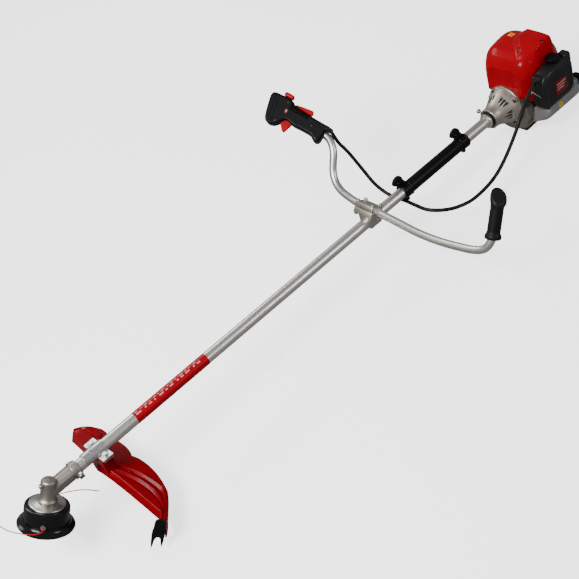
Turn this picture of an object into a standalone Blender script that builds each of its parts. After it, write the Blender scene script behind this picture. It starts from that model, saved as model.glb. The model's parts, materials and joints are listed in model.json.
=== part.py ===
"""String trimmer (brush cutter): bump-feed head, bevel gear case, straight shaft, guard, bull handlebar
with throttle handle, and a small four-stroke engine. Metres, +Z up.

Pieces are laid out in the shaft's own frame: X runs up the shaft from the gear case to the engine,
Y to the operator's right and Z away from the ground. The assembly empty lays the whole on the floor."""

import math

import bmesh
import bpy
from mathutils import Matrix, Vector
from mathutils.geometry import interpolate_bezier

GAP = 0.0003

# Shaft
TUBE_RADIUS = 0.014
TUBE_BORE = 0.0125
TUBE_FRONT = 0.0520
TUBE_REAR = 1.486
DRIVE_RADIUS = 0.004
LABEL_FRONT = 0.2425
LABEL_REAR = 0.4545
SLEEVE_FRONT = 1.142
SLEEVE_REAR = 1.330
SLEEVE_RADIUS = 0.0172
HANGER_LENGTH = 0.026

# Gear case and head, along the spindle from where it meets the shaft
SHAFT_RISE = math.radians(30)
CASE_RADIUS = 0.017
CASE_BORE = 0.0130
CASE_TOP = 0.032
CASE_BOTTOM = -0.020
ARM_RADIUS = 0.0175
ARM_END = 0.082
SPINDLE_RADIUS = 0.005
PINION_TEETH = 15
CROWN_TEETH = 21
CONE_DISTANCE = 0.0198
TOOTH_LENGTH = 0.007
DISH_RADIUS = 0.0395
DRUM_RADIUS = 0.0485
DRUM_TOP = -0.0285
DRUM_BOTTOM = -0.0700
RIM_RADIUS = 0.062
COVER_BOTTOM = -0.0790
EYELET_HEIGHT = -0.0560
EYELET_ANGLE = math.radians(230)
KNOB_RADIUS = 0.0205
KNOB_BOTTOM = -0.0960
LINE_RADIUS = 0.0012

# Guard, in the spindle frame
GUARD_CHORD = 0.122
GUARD_RADIUS = 0.254
GUARD_WALL = 0.003
GUARD_HALF_ANGLE = math.radians(46)
GUARD_SKIRT = -0.066
SKIRT_LEVEL = math.radians(21)
SKIRT_RISE = 0.046
BRACKET_FRONT = 0.0985
BRACKET_REAR = 0.1535
EAR_TOP = 0.0012

# Handlebar
BAR_RADIUS = 0.0095
BAR_WALL = 0.0015
BAR_STEP = 0.0160
BAR_SIDES = 10
BAR_X = 1.003
BAR_HEIGHT = 0.0332
BAR_LEAN = math.radians(32)

# Engine, along the shaft
HOUSING_FRONT = 1.450
HOUSING_REAR = 1.5275
LOCK_X = 1.457
LOCK_DEPTH = 0.0235
LOCK_TURN = math.radians(75)
CRANKCASE_FRONT = HOUSING_REAR + GAP
CRANKCASE_REAR = 1.600
CRANKCASE_TOP = 0.040
COVER_REAR = 1.668
COVER_HALF_WIDTH = 0.0815
COVER_TOP = 0.146
COVER_SHIFT = 0.001
AIR_TOP = 0.107
TANK_BOTTOM = -0.080
CAP_PLACE = (0, -0.0850, -0.0120)
BASE_HEIGHT = -0.096

# How the whole lies: the guard's skirt and the engine's base rest on the floor
BASE_FRONT = 1.552
BASE_REAR = 1.672
REST_X = 0.1687
REST_Z = -0.1736
LIE_PITCH = math.atan2(BASE_HEIGHT - REST_Z, BASE_FRONT - REST_X)

FINISHES = {
    "bare_aluminium": ((0.62, 0.60, 0.57), 0.38, 1.0),
    "cast_aluminium": ((0.46, 0.43, 0.39), 0.50, 1.0),
    "zinc_steel": ((0.62, 0.63, 0.62), 0.28, 1.0),
    "dark_steel": ((0.20, 0.20, 0.21), 0.40, 1.0),
    "black_plastic": ((0.018, 0.018, 0.018), 0.42, 0.0),
    "black_rubber": ((0.015, 0.015, 0.015), 0.70, 0.0),
    "red_gloss": ((0.60, 0.004, 0.006), 0.15, 0.0),
    "red_guard": ((0.36, 0.003, 0.005), 0.30, 0.0),
    "red_line": ((0.55, 0.02, 0.02), 0.35, 0.0),
    "milky_tank": ((0.62, 0.60, 0.58), 0.45, 0.0),
    "gear_steel": ((0.35, 0.35, 0.36), 0.35, 1.0),
}


def clear_scene():
    for obj in list(bpy.data.objects):
        bpy.data.objects.remove(obj, do_unlink=True)


def material(finish):
    existing = bpy.data.materials.get(finish)
    if existing:
        return existing
    colour, roughness, metallic = FINISHES[finish]
    made = bpy.data.materials.new(finish)
    made.use_nodes = True
    shader = made.node_tree.nodes["Principled BSDF"]
    shader.inputs["Base Color"].default_value = (*colour, 1.0)
    shader.inputs["Roughness"].default_value = roughness
    shader.inputs["Metallic"].default_value = metallic
    return made


def empty(name, parent, location=(0, 0, 0), rotation=(0, 0, 0)):
    made = bpy.data.objects.new(name, None)
    made.empty_display_size = 0.03
    bpy.context.scene.collection.objects.link(made)
    made.parent = parent
    made.location = location
    made.rotation_euler = rotation
    return made


def add(name, mesh_source, finish, frame, location=(0, 0, 0), rotation=(0, 0, 0)):
    """Link a bmesh as a named object under a frame."""
    bmesh.ops.recalc_face_normals(mesh_source, faces=mesh_source.faces)
    mesh = bpy.data.meshes.new(name)
    mesh_source.to_mesh(mesh)
    mesh_source.free()
    mesh.shade_smooth()
    mesh.set_sharp_from_angle(angle=math.radians(35))
    obj = bpy.data.objects.new(name, mesh)
    bpy.context.scene.collection.objects.link(obj)
    obj.parent = frame
    obj.location = location
    obj.rotation_euler = rotation
    if finish:
        mesh.materials.append(material(finish))
    return obj


def helper(name, mesh_source, frame, location=(0, 0, 0), rotation=(0, 0, 0)):
    """A cutter or a shape to be joined, left out of the build."""
    obj = add(name, mesh_source, None, frame, location, rotation)
    obj.hide_render = True
    obj.display_type = "WIRE"
    return obj


def combine(obj, other, operation):
    step = obj.modifiers.new(other.name, "BOOLEAN")
    step.object = other
    step.operation = operation
    step.solver = "EXACT"


def cut(obj, other):
    combine(obj, other, "DIFFERENCE")


def join(obj, other):
    combine(obj, other, "UNION")


def turned(profile, steps=24, axis="Z"):
    """Turn (radius, height) points: solid when the profile starts and ends on the axis, else a ring."""
    made = bmesh.new()
    rows = []
    for radius, height in profile:
        if radius < 1e-9:
            rows.append([made.verts.new((0, 0, height))] * steps)
            continue
        turns = [math.tau * i / steps for i in range(steps)]
        rows.append([made.verts.new((radius * math.cos(t), radius * math.sin(t), height)) for t in turns])
    closed = profile[0][0] > 1e-9 or profile[-1][0] > 1e-9
    pairs = list(zip(rows, rows[1:]))
    if closed:
        pairs.append((rows[-1], rows[0]))
    for lower, upper in pairs:
        for i in range(steps):
            j = (i + 1) % steps
            corners = dict.fromkeys((lower[i], lower[j], upper[j], upper[i]))
            if len(corners) > 2:
                made.faces.new(list(corners))
    if axis == "X":
        bmesh.ops.rotate(made, verts=made.verts, matrix=Matrix.Rotation(math.pi / 2, 3, "Y"))
    if axis == "Y":
        bmesh.ops.rotate(made, verts=made.verts, matrix=Matrix.Rotation(-math.pi / 2, 3, "X"))
    return made


def rod(radius, start, end, steps=16, axis="Z"):
    return turned([(0, start), (radius, start), (radius, end), (0, end)], steps, axis)


def ring(inner, outer, start, end, steps=24, axis="Z"):
    return turned([(inner, start), (outer, start), (outer, end), (inner, end)], steps, axis)


def prism(outline, low, high):
    """Extrude an outline in XY from one height to another."""
    made = bmesh.new()
    face = made.faces.new([made.verts.new((x, y, low)) for x, y in outline])
    grown = bmesh.ops.extrude_face_region(made, geom=[face])
    tops = [item for item in grown["geom"] if isinstance(item, bmesh.types.BMVert)]
    bmesh.ops.translate(made, verts=tops, vec=(0, 0, high - low))
    return made


def block(low, high, rounding=0.0, segments=2):
    """A box between two corners, with its edges rounded."""
    low, high = Vector(low), Vector(high)
    made = bmesh.new()
    bmesh.ops.create_cube(made, size=1.0)
    bmesh.ops.scale(made, verts=made.verts, vec=high - low)
    bmesh.ops.translate(made, verts=made.verts, vec=(high + low) / 2)
    if rounding:
        bmesh.ops.bevel(
            made,
            geom=made.edges[:],
            offset=rounding,
            segments=segments,
            profile=0.5,
            affect="EDGES",
            clamp_overlap=True,
        )
    return made


def loft(rings):
    """Close a skin over rings that have the same number of points."""
    made = bmesh.new()
    rows = [[made.verts.new(point) for point in points] for points in rings]
    count = len(rows[0])
    for lower, upper in zip(rows, rows[1:]):
        for i in range(count):
            j = (i + 1) % count
            made.faces.new((lower[i], lower[j], upper[j], upper[i]))
    made.faces.new(rows[0])
    made.faces.new(rows[-1][::-1])
    bmesh.ops.triangulate(made, faces=[face for face in made.faces if len(face.verts) > 4])
    return made


def smooth_route(points, spacing):
    """Points at an even spacing along one smooth curve through the given ones."""
    knots = [Vector(point) for point in points]
    slopes = []
    for i, knot in enumerate(knots):
        before = knots[max(i - 1, 0)]
        after = knots[min(i + 1, len(knots) - 1)]
        slopes.append((after - before).normalized())
    fine = [knots[0]]
    for i in range(len(knots) - 1):
        reach = (knots[i + 1] - knots[i]).length / 3
        handles = (knots[i] + slopes[i] * reach, knots[i + 1] - slopes[i + 1] * reach)
        fine += interpolate_bezier(knots[i], *handles, knots[i + 1], 25)[1:]
    lengths = [0.0]
    for a, b in zip(fine, fine[1:]):
        lengths.append(lengths[-1] + (b - a).length)
    count = max(2, round(lengths[-1] / spacing))
    route, k = [], 0
    for i in range(count + 1):
        target = lengths[-1] * i / count
        while k < len(fine) - 2 and lengths[k + 1] < target:
            k += 1
        share = (target - lengths[k]) / (lengths[k + 1] - lengths[k])
        route.append(fine[k].lerp(fine[k + 1], share))
    return route


def swept(route, radius, sides=12, bore=0.0):
    """A round bar, or a pipe when it has a bore, along a route."""
    made = bmesh.new()
    normal = (route[1] - route[0]).orthogonal().normalized()
    outer, inner = [], []
    for i, point in enumerate(route):
        along = route[min(i + 1, len(route) - 1)] - route[max(i - 1, 0)]
        along.normalize()
        normal = (normal - along * normal.dot(along)).normalized()
        side = along.cross(normal)
        for rows, size in ((outer, radius), (inner, bore)):
            turns = [math.tau * k / sides for k in range(sides)]
            places = [point + size * (normal * math.cos(t) + side * math.sin(t)) for t in turns]
            rows.append([made.verts.new(place) for place in places] if size else None)
    walls = [outer, inner] if bore else [outer]
    for rows in walls:
        for lower, upper in zip(rows, rows[1:]):
            for k in range(sides):
                j = (k + 1) % sides
                made.faces.new((lower[k], lower[j], upper[j], upper[k]))
    for end in (0, -1):
        if not bore:
            made.faces.new(outer[end])
            continue
        for k in range(sides):
            j = (k + 1) % sides
            made.faces.new((outer[end][k], outer[end][j], inner[end][j], inner[end][k]))
    return made


def cord(name, route, radius, finish, frame, resolution=2):
    """A curve with a round bevel and closed ends."""
    data = bpy.data.curves.new(name, "CURVE")
    data.dimensions = "3D"
    data.bevel_depth = radius
    data.bevel_resolution = resolution
    data.use_fill_caps = True
    spline = data.splines.new("POLY")
    spline.points.add(len(route) - 1)
    for point, place in zip(spline.points, route):
        point.co = (*place, 1.0)
    data.materials.append(material(finish))
    obj = bpy.data.objects.new(name, data)
    bpy.context.scene.collection.objects.link(obj)
    obj.parent = frame
    return obj


def bolt(name, frame, location, rotation, shank, length, head, head_height, finish="zinc_steel"):
    """A hexagon-headed bolt whose head stands on the local XY plane."""
    made = turned(
        [(0, -length), (shank, -length), (shank, 0), (head, 0), (head, head_height), (0, head_height)], 6
    )
    return add(name, made, finish, frame, location, rotation)


# ---------------------------------------------------------------- gear case and head


def bevel_gear(teeth, cone_angle, bore):
    """A bevel gear with its apex at the origin, its back towards +Z."""
    made = bmesh.new()
    count = teeth * 2
    rows = []
    for distance in (CONE_DISTANCE - TOOTH_LENGTH, CONE_DISTANCE):
        height = distance * math.cos(cone_angle)
        root = distance * math.sin(cone_angle) - 0.0012 * distance / CONE_DISTANCE
        tooth = 0.0010 * distance / CONE_DISTANCE
        row = []
        for i in range(count):
            radius = root - tooth * (i % 2)
            turn = math.tau * i / count
            row.append(made.verts.new((radius * math.cos(turn), radius * math.sin(turn), height)))
        rows.append(row)
    back = CONE_DISTANCE * math.cos(cone_angle) + 0.002
    for height in (back, (CONE_DISTANCE - TOOTH_LENGTH) * math.cos(cone_angle)):
        radius = bore if height != back else CONE_DISTANCE * math.sin(cone_angle) - 0.0022
        row = []
        for i in range(count):
            turn = math.tau * i / count
            row.append(made.verts.new((radius * math.cos(turn), radius * math.sin(turn), height)))
        rows.append(row)
    hub = []
    for i in range(count):
        turn = math.tau * i / count
        hub.append(made.verts.new((bore * math.cos(turn), bore * math.sin(turn), back)))
    front, toothed, rear, bore_front = rows
    for a, b in ((front, toothed), (toothed, rear), (rear, hub), (hub, bore_front), (bore_front, front)):
        for i in range(count):
            j = (i + 1) % count
            made.faces.new((a[i], a[j], b[j], b[i]))
    return made


def gear_case(assembly, spindle):
    dome = 0.005
    upright = turned(
        [
            (0, CASE_BOTTOM),
            (CASE_RADIUS + 0.004, CASE_BOTTOM),
            (CASE_RADIUS + 0.004, CASE_BOTTOM + 0.004),
            (CASE_RADIUS, CASE_BOTTOM + 0.009),
            (CASE_RADIUS, CASE_TOP - dome),
            (CASE_RADIUS - 0.003, CASE_TOP - 0.0012),
            (CASE_RADIUS - 0.007, CASE_TOP),
            (0, CASE_TOP),
        ],
        28,
    )
    case = add("gear_case", upright, "cast_aluminium", spindle)
    arm = helper("arm_shape", rod(ARM_RADIUS, 0.004, ARM_END, 28, "X"), assembly)
    collar = helper("collar_shape", rod(ARM_RADIUS + 0.0025, 0.064, ARM_END - 0.001, 28, "X"), assembly)
    ear = helper("ear_shape", block((0.067, -0.0295, -0.008), (0.079, 0.0295, 0.003), 0.002), assembly)
    plug_boss = helper("boss_shape", rod(0.0055, -0.0215, 0.0, 12, "X"), spindle, (0, 0, 0.020))
    for shape in (arm, collar, ear, plug_boss):
        join(case, shape)
    for name, made, frame in (
        ("spindle_cut", rod(CASE_BORE, CASE_BOTTOM - 0.01, 0.0265, 28), spindle),
        ("arm_cut", rod(0.0110, -0.003, TUBE_FRONT, 20, "X"), assembly),
        ("tube_cut", rod(TUBE_RADIUS + GAP, TUBE_FRONT - GAP, ARM_END + 0.01, 24, "X"), assembly),
        ("clamp_slot", block((0.058, -0.034, -0.0013), (0.088, -0.012, 0.0013)), assembly),
    ):
        cut(case, helper(name, made, frame))
    screw = rod(0.0026, -0.012, 0.012, 8)
    cut(case, helper("clamp_screw_cut", screw, assembly, (0.073, -0.0252, 0)))
    bolt("gear_clamp_bolt", assembly, (0.073, -0.0252, 0.0033), (0, 0, 0), 0.0022, 0.0105, 0.0042, 0.003)


def drive_line(assembly, spindle):
    """What turns inside the case and the tube."""
    pitch_pinion = math.atan2(
        math.sin(math.pi / 3), CROWN_TEETH / PINION_TEETH + math.cos(math.pi / 3)
    )
    pinion = bevel_gear(PINION_TEETH, pitch_pinion, 0.0031)
    bmesh.ops.rotate(pinion, verts=pinion.verts, matrix=Matrix.Rotation(math.pi / 2, 3, "Y"))
    add("pinion_gear", pinion, "gear_steel", assembly)
    crown = bevel_gear(CROWN_TEETH, math.pi / 3 - pitch_pinion, SPINDLE_RADIUS + GAP)
    add("crown_gear", crown, "gear_steel", spindle)
    shaft = [(0, 0.0125), (0.0028, 0.0125), (0.0028, 0.0205), (DRIVE_RADIUS, 0.0205)]
    shaft += [(DRIVE_RADIUS, 1.4935), (0, 1.4935)]
    add("drive_shaft", turned(shaft, 12, "X"), "gear_steel", assembly)
    tube = ring(TUBE_BORE, TUBE_RADIUS, TUBE_FRONT, TUBE_REAR, 28, "X")
    add("drive_tube", tube, "bare_aluminium", assembly)
    bush = ring(DRIVE_RADIUS + GAP, TUBE_BORE - GAP, 0.70, 0.724, 16, "X")
    add("shaft_bush", bush, "black_rubber", assembly)
    lower = COVER_BOTTOM + 0.012
    profile = [(0, lower), (0.004, lower), (0.004, DRUM_TOP - 0.006), (SPINDLE_RADIUS, DRUM_TOP - 0.006)]
    profile += [(SPINDLE_RADIUS, 0.0258), (0, 0.0258)]
    add("output_spindle", turned(profile, 12), "gear_steel", spindle)
    bearing = ring(SPINDLE_RADIUS + GAP, CASE_BORE - GAP, -0.0190, -0.0100, 20)
    add("spindle_bearing", bearing, "dark_steel", spindle)


def trimmer_head(spindle):
    dish_low = DRUM_TOP + GAP
    dish = [
        (SPINDLE_RADIUS + GAP, -0.0206),
        (0.0225, -0.0206),
        (0.0265, -0.0212),
        (0.0315, -0.0222),
        (0.0320, -0.0240),
        (DISH_RADIUS - 0.0015, -0.0252),
        (DISH_RADIUS, -0.0262),
        (DISH_RADIUS, dish_low),
        (SPINDLE_RADIUS + GAP, dish_low),
    ]
    add("adapter_dish", turned(dish, 28), "cast_aluminium", spindle)
    wall = 0.0025
    shell = [
        (SPINDLE_RADIUS + GAP, DRUM_TOP),
        (DRUM_RADIUS - 0.004, DRUM_TOP),
        (DRUM_RADIUS - 0.001, DRUM_TOP - 0.0012),
        (DRUM_RADIUS, DRUM_TOP - 0.004),
        (DRUM_RADIUS, DRUM_BOTTOM),
        (DRUM_RADIUS - wall, DRUM_BOTTOM),
        (DRUM_RADIUS - wall, DRUM_TOP - wall - 0.001),
        (0.0095, DRUM_TOP - wall),
        (0.0095, DRUM_TOP - 0.012),
        (SPINDLE_RADIUS + GAP, DRUM_TOP - 0.012),
    ]
    housing = add("head_housing", turned(shell, 28), "black_plastic", spindle)
    for side in (0, 1):
        turn = EYELET_ANGLE + math.pi * side
        window = rod(0.0042, DRUM_RADIUS - 0.006, DRUM_RADIUS + 0.004, 10, "X")
        cut(housing, helper(f"eyelet_cut_{side}", window, spindle, (0, 0, EYELET_HEIGHT), (0, 0, turn)))
        sleeve = turned(
            [
                (0.0019, DRUM_RADIUS - 0.0035),
                (0.0039, DRUM_RADIUS - 0.0035),
                (0.0039, DRUM_RADIUS + 0.0009),
                (0.0056, DRUM_RADIUS + 0.0009),
                (0.0056, DRUM_RADIUS + 0.0024),
                (0.0019, DRUM_RADIUS + 0.0024),
            ],
            12,
            "X",
        )
        eyelet = add(f"line_eyelet_{'ab'[side]}", sleeve, "zinc_steel", spindle, (0, 0, EYELET_HEIGHT))
        eyelet.rotation_euler = (0, 0, turn)
    skirt = DRUM_RADIUS + GAP
    cover = [
        (KNOB_RADIUS + 0.001, COVER_BOTTOM),
        (RIM_RADIUS - 0.006, COVER_BOTTOM),
        (RIM_RADIUS - 0.001, COVER_BOTTOM + 0.002),
        (RIM_RADIUS, COVER_BOTTOM + 0.005),
        (RIM_RADIUS - 0.0006, COVER_BOTTOM + 0.0075),
        (skirt + 0.0045, COVER_BOTTOM + 0.0125),
        (skirt + 0.0020, COVER_BOTTOM + 0.0168),
        (skirt, COVER_BOTTOM + 0.0168),
        (skirt, DRUM_BOTTOM - GAP),
        (skirt - 0.0040, DRUM_BOTTOM - GAP),
        (skirt - 0.0060, COVER_BOTTOM + 0.003),
        (KNOB_RADIUS + 0.001, COVER_BOTTOM + 0.003),
    ]
    add("head_cover", turned(cover, 32), "black_plastic", spindle)
    spool = [
        (0.0100, -0.0700),
        (0.0400, -0.0700),
        (0.0400, -0.0680),
        (0.0240, -0.0670),
        (0.0240, -0.0500),
        (0.0400, -0.0490),
        (0.0400, -0.0470),
        (0.0125, -0.0470),
        (0.0125, -0.0620),
        (0.0100, -0.0620),
    ]
    add("spool", turned(spool, 24), "black_plastic", spindle)
    stem = 0.0093
    knob = [
        (0.0048, -0.0715),
        (0.0048, -0.0575),
        (stem, -0.0575),
        (stem, -0.0712),
        (KNOB_RADIUS, -0.0712),
        (KNOB_RADIUS, KNOB_BOTTOM + 0.006),
        (KNOB_RADIUS - 0.002, KNOB_BOTTOM + 0.002),
        (KNOB_RADIUS - 0.007, KNOB_BOTTOM),
        (0, KNOB_BOTTOM),
        (0, -0.0715),
    ]
    add("bump_knob", turned(knob[::-1], 24), "black_plastic", spindle)
    steps, coils = 50, 5
    foot, length = -0.0609, 0.0287
    route = []
    for i in range(steps + 1):
        turn = math.tau * coils * i / steps
        route.append(Vector((0.0112 * math.cos(turn), 0.0112 * math.sin(turn), foot + length * i / steps)))
    cord("tap_spring", route, 0.0006, "zinc_steel", spindle, 1)
    for name, knots in LINE_TAILS.items():
        cord(name, smooth_route(knots, 0.006), LINE_RADIUS, "red_line", spindle)


# Each tail leaves its eyelet straight and then curls back, in the spindle frame.
LINE_TAILS = {
    "line_tail_a": [
        (-0.0335, -0.0400, EYELET_HEIGHT),
        (-0.0440, -0.0520, EYELET_HEIGHT + 0.0004),
        (-0.0640, -0.0500, EYELET_HEIGHT + 0.0010),
        (-0.0830, -0.0350, EYELET_HEIGHT + 0.0012),
        (-0.0990, -0.0120, EYELET_HEIGHT + 0.0012),
        (-0.1060, 0.0150, EYELET_HEIGHT + 0.0012),
    ],
    "line_tail_b": [
        (0.0335, 0.0400, EYELET_HEIGHT),
        (0.0440, 0.0500, EYELET_HEIGHT + 0.0004),
        (0.0700, 0.0560, EYELET_HEIGHT + 0.0010),
        (0.1020, 0.0520, EYELET_HEIGHT + 0.0012),
        (0.1280, 0.0420, EYELET_HEIGHT + 0.0012),
        (0.1500, 0.0230, EYELET_HEIGHT + 0.0012),
    ],
}


# ---------------------------------------------------------------- guard


def guard_height(turn, outer):
    """Height of the guard's top: highest under the shaft, and lower towards its left end."""
    share = abs(turn) / GUARD_HALF_ANGLE
    fall = 0.036 if turn > 0 else 0.058
    crown = 0.032 if outer else 0.037
    return crown - (fall - (0.014 if outer and turn > 0 else 0.0)) * share**1.6


def guard_ring(turn):
    share = abs(turn) / GUARD_HALF_ANGLE
    chord = GUARD_CHORD + 0.058 * share**1.3
    inner = chord / math.cos(turn)
    outer = 0.212 + (GUARD_RADIUS - 0.212) * min(1, share * 1.6) ** 0.8
    if turn > 0:
        outer += 0.024 * max(0, share / 0.55 - 0.82) ** 2
    inner = min(inner, outer - 0.016)
    top_in, top_out = guard_height(turn, False), guard_height(turn, True)
    lip = 0.020
    skirt = GUARD_SKIRT + SKIRT_RISE * max(0, turn - SKIRT_LEVEL) / (GUARD_HALF_ANGLE - SKIRT_LEVEL)
    wall = GUARD_WALL
    places = [
        (inner, top_in - lip),
        (inner, top_in - 0.002),
        (inner + 0.002, top_in),
        (outer - 0.005, top_out),
        (outer, top_out - 0.004),
        (outer + 0.004, skirt),
        (outer + 0.004 - wall, skirt),
        (outer - wall, top_out - 0.006),
        (outer - 0.006, top_out - wall),
        (inner + wall, top_in - wall),
        (inner + wall, top_in - lip),
    ]
    return [(r * math.cos(turn), r * math.sin(turn), h) for r, h in places]


def guard(assembly, spindle):
    count = 26
    turns = [GUARD_HALF_ANGLE * (2 * i / count - 1) for i in range(count + 1)]
    body = add("guard", loft([guard_ring(turn) for turn in turns]), "red_guard", spindle)
    boss = helper("guard_boss", block((0.118, -0.034, -0.050), (0.150, 0.034, -0.004), 0.003, 1), assembly)
    join(body, boss)
    bore = rod(TUBE_RADIUS + 0.0007, 0.05, 0.30, 28, "X")
    cut(body, helper("guard_tube_cut", bore, assembly))
    for side, name in ((-1, "left"), (1, "right")):
        hole = rod(0.0029, -0.030, 0.01, 8)
        cut(body, helper(f"guard_hole_{name}", hole, assembly, (0.138, side * 0.0265, 0)))
    strap_section = []
    for i in range(13):
        turn = math.pi * i / 12
        strap_section.append((0.0168 * math.cos(turn), 0.0168 * math.sin(turn)))
    for i in range(13):
        turn = math.pi * (12 - i) / 12
        radius = TUBE_RADIUS + GAP
        strap_section.append((radius * math.cos(turn), radius * math.sin(turn)))
    strap = prism(strap_section, BRACKET_FRONT, BRACKET_REAR)
    turned_round = Matrix(((0, 0, 1), (1, 0, 0), (0, 1, 0)))
    bmesh.ops.rotate(strap, verts=strap.verts, matrix=turned_round)
    bracket = add("guard_bracket", strap, "zinc_steel", assembly)
    for side, name in ((-1, "left"), (1, "right")):
        low = min(side * 0.0150, side * 0.0390)
        ear = block((0.124, low, -0.0030), (0.1525, low + 0.0240, EAR_TOP), 0.0004, 1)
        join(bracket, helper(f"bracket_ear_{name}", ear, assembly))
        hole = rod(0.0029, -0.01, 0.01, 8)
        cut(bracket, helper(f"ear_hole_{name}", hole, assembly, (0.138, side * 0.0265, 0)))
        place = (0.138, side * 0.0265, EAR_TOP + GAP)
        bolt(f"guard_bolt_{name}", assembly, place, (0, 0, 0), 0.0025, 0.022, 0.0062, 0.0052)
    blade = prism(
        [
            (-0.011, 0.010),
            (0.014, 0.010),
            (0.014, -0.012),
            (0.009, -0.036),
            (0.006, -0.016),
            (0.000, -0.014),
            (-0.006, -0.020),
            (-0.012, -0.044),
            (-0.014, -0.012),
        ],
        0.0,
        0.0022,
    )
    turn = -GUARD_HALF_ANGLE - math.radians(0.6)
    radius = GUARD_RADIUS - 0.014
    cutter = add("line_cutter", blade, "dark_steel", spindle)
    # The blade stands on the guard's end: its X runs outwards and its Y up the spindle.
    outwards = Vector((math.cos(turn), math.sin(turn), 0))
    up = Vector((0, 0, 1))
    stand = Matrix((outwards, up, outwards.cross(up))).transposed()
    place = outwards * radius + Vector((0, 0, GUARD_SKIRT + 0.012))
    cutter.matrix_local = Matrix.Translation(place) @ stand.to_4x4()


# ---------------------------------------------------------------- shaft fittings


def hanger(name, assembly, front):
    """A moulded clamp ring with an eye above the shaft and a screw boss at its side."""
    rear = front + HANGER_LENGTH
    body = add(name, rod(0.0195, front, rear, 24, "X"), "black_plastic", assembly)
    outline = [(-0.0085, 0.015), (0.0140, 0.015)]
    lean, centre = -0.015, 0.036
    for i in range(13):
        turn = math.pi * i / 12
        outline.append((lean + 0.0145 * math.cos(turn), centre + 0.0145 * math.sin(turn)))
    outline.append((-0.0085, 0.0178))
    tab = prism(outline, -0.0042, 0.0042)
    lay = Matrix.Rotation(math.pi / 2, 3, "X")
    bmesh.ops.rotate(tab, verts=tab.verts, matrix=lay)
    middle = (front + rear) / 2 - 0.004
    join(body, helper(f"{name}_tab", tab, assembly, (middle, 0, 0)))
    eye = rod(0.0055, -0.01, 0.01, 16, "Y")
    cut(body, helper(f"{name}_eye", eye, assembly, (middle + lean, 0, centre + 0.002)))
    boss = rod(0.0062, -0.0330, -0.012, 12)
    join(body, helper(f"{name}_boss", boss, assembly, (middle + 0.008, 0.004, 0)))
    bore = rod(TUBE_RADIUS + GAP, front - 0.03, rear + 0.01, 28, "X")
    cut(body, helper(f"{name}_bore", bore, assembly))


def shaft_fittings(assembly):
    sleeve = [
        (TUBE_RADIUS + GAP, SLEEVE_FRONT),
        (SLEEVE_RADIUS, SLEEVE_FRONT),
        (SLEEVE_RADIUS, SLEEVE_REAR),
        (TUBE_RADIUS + GAP, SLEEVE_REAR),
    ]
    add("shaft_sleeve", turned(sleeve, 28, "X"), "black_rubber", assembly)
    hanger("hanger_lower", assembly, SLEEVE_FRONT - HANGER_LENGTH - GAP)
    hanger("hanger_upper", assembly, SLEEVE_REAR + GAP)
    film = ring(TUBE_RADIUS + 0.00015, TUBE_RADIUS + 0.0005, LABEL_FRONT, LABEL_REAR, 28, "X")
    label = add("shaft_label", film, "red_gloss", assembly)
    opening = block((LABEL_FRONT - 0.01, -0.006, -0.03), (LABEL_REAR + 0.01, 0.006, 0.0))
    cut(label, helper("label_opening", opening, assembly))


# ---------------------------------------------------------------- handlebar

# The bar's bends, in the bar's leaning frame: left grip end, across the clamp, and up to the throttle.
BAR_ROUTE = [
    (0, -0.3640, 0.1400),
    (0, -0.3700, 0.0750),
    (0, -0.3700, 0.0460),
    (0, -0.3600, 0.0250),
    (0, -0.3380, 0.0125),
    (0, -0.2960, 0.0040),
    (0, -0.2300, -0.0040),
    (0, -0.1650, -0.0060),
    (0, -0.1180, -0.0035),
    (0, -0.0540, 0.0000),
    (0, 0.0340, 0.0030),
    (0, 0.0680, 0.0080),
    (0, 0.0970, 0.0155),
    (0, 0.1200, 0.0300),
    (0, 0.1340, 0.0510),
    (0, 0.1400, 0.0760),
    (0.0005, 0.1440, 0.0950),
    (0.0012, 0.1540, 0.1130),
    (0.0008, 0.1690, 0.1265),
    (-0.0030, 0.1860, 0.1345),
    (-0.0140, 0.2065, 0.1417),
    (-0.0370, 0.2485, 0.1562),
]


def bar_space():
    """The handlebar as a solid, larger by the gap all round, to cut its place out of what holds it."""
    route = smooth_route(BAR_ROUTE, BAR_STEP)
    route[0] += (route[0] - route[1]).normalized() * GAP
    route[-1] += (route[-1] - route[-2]).normalized() * GAP
    return swept(route, BAR_RADIUS + GAP, BAR_SIDES)


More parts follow.
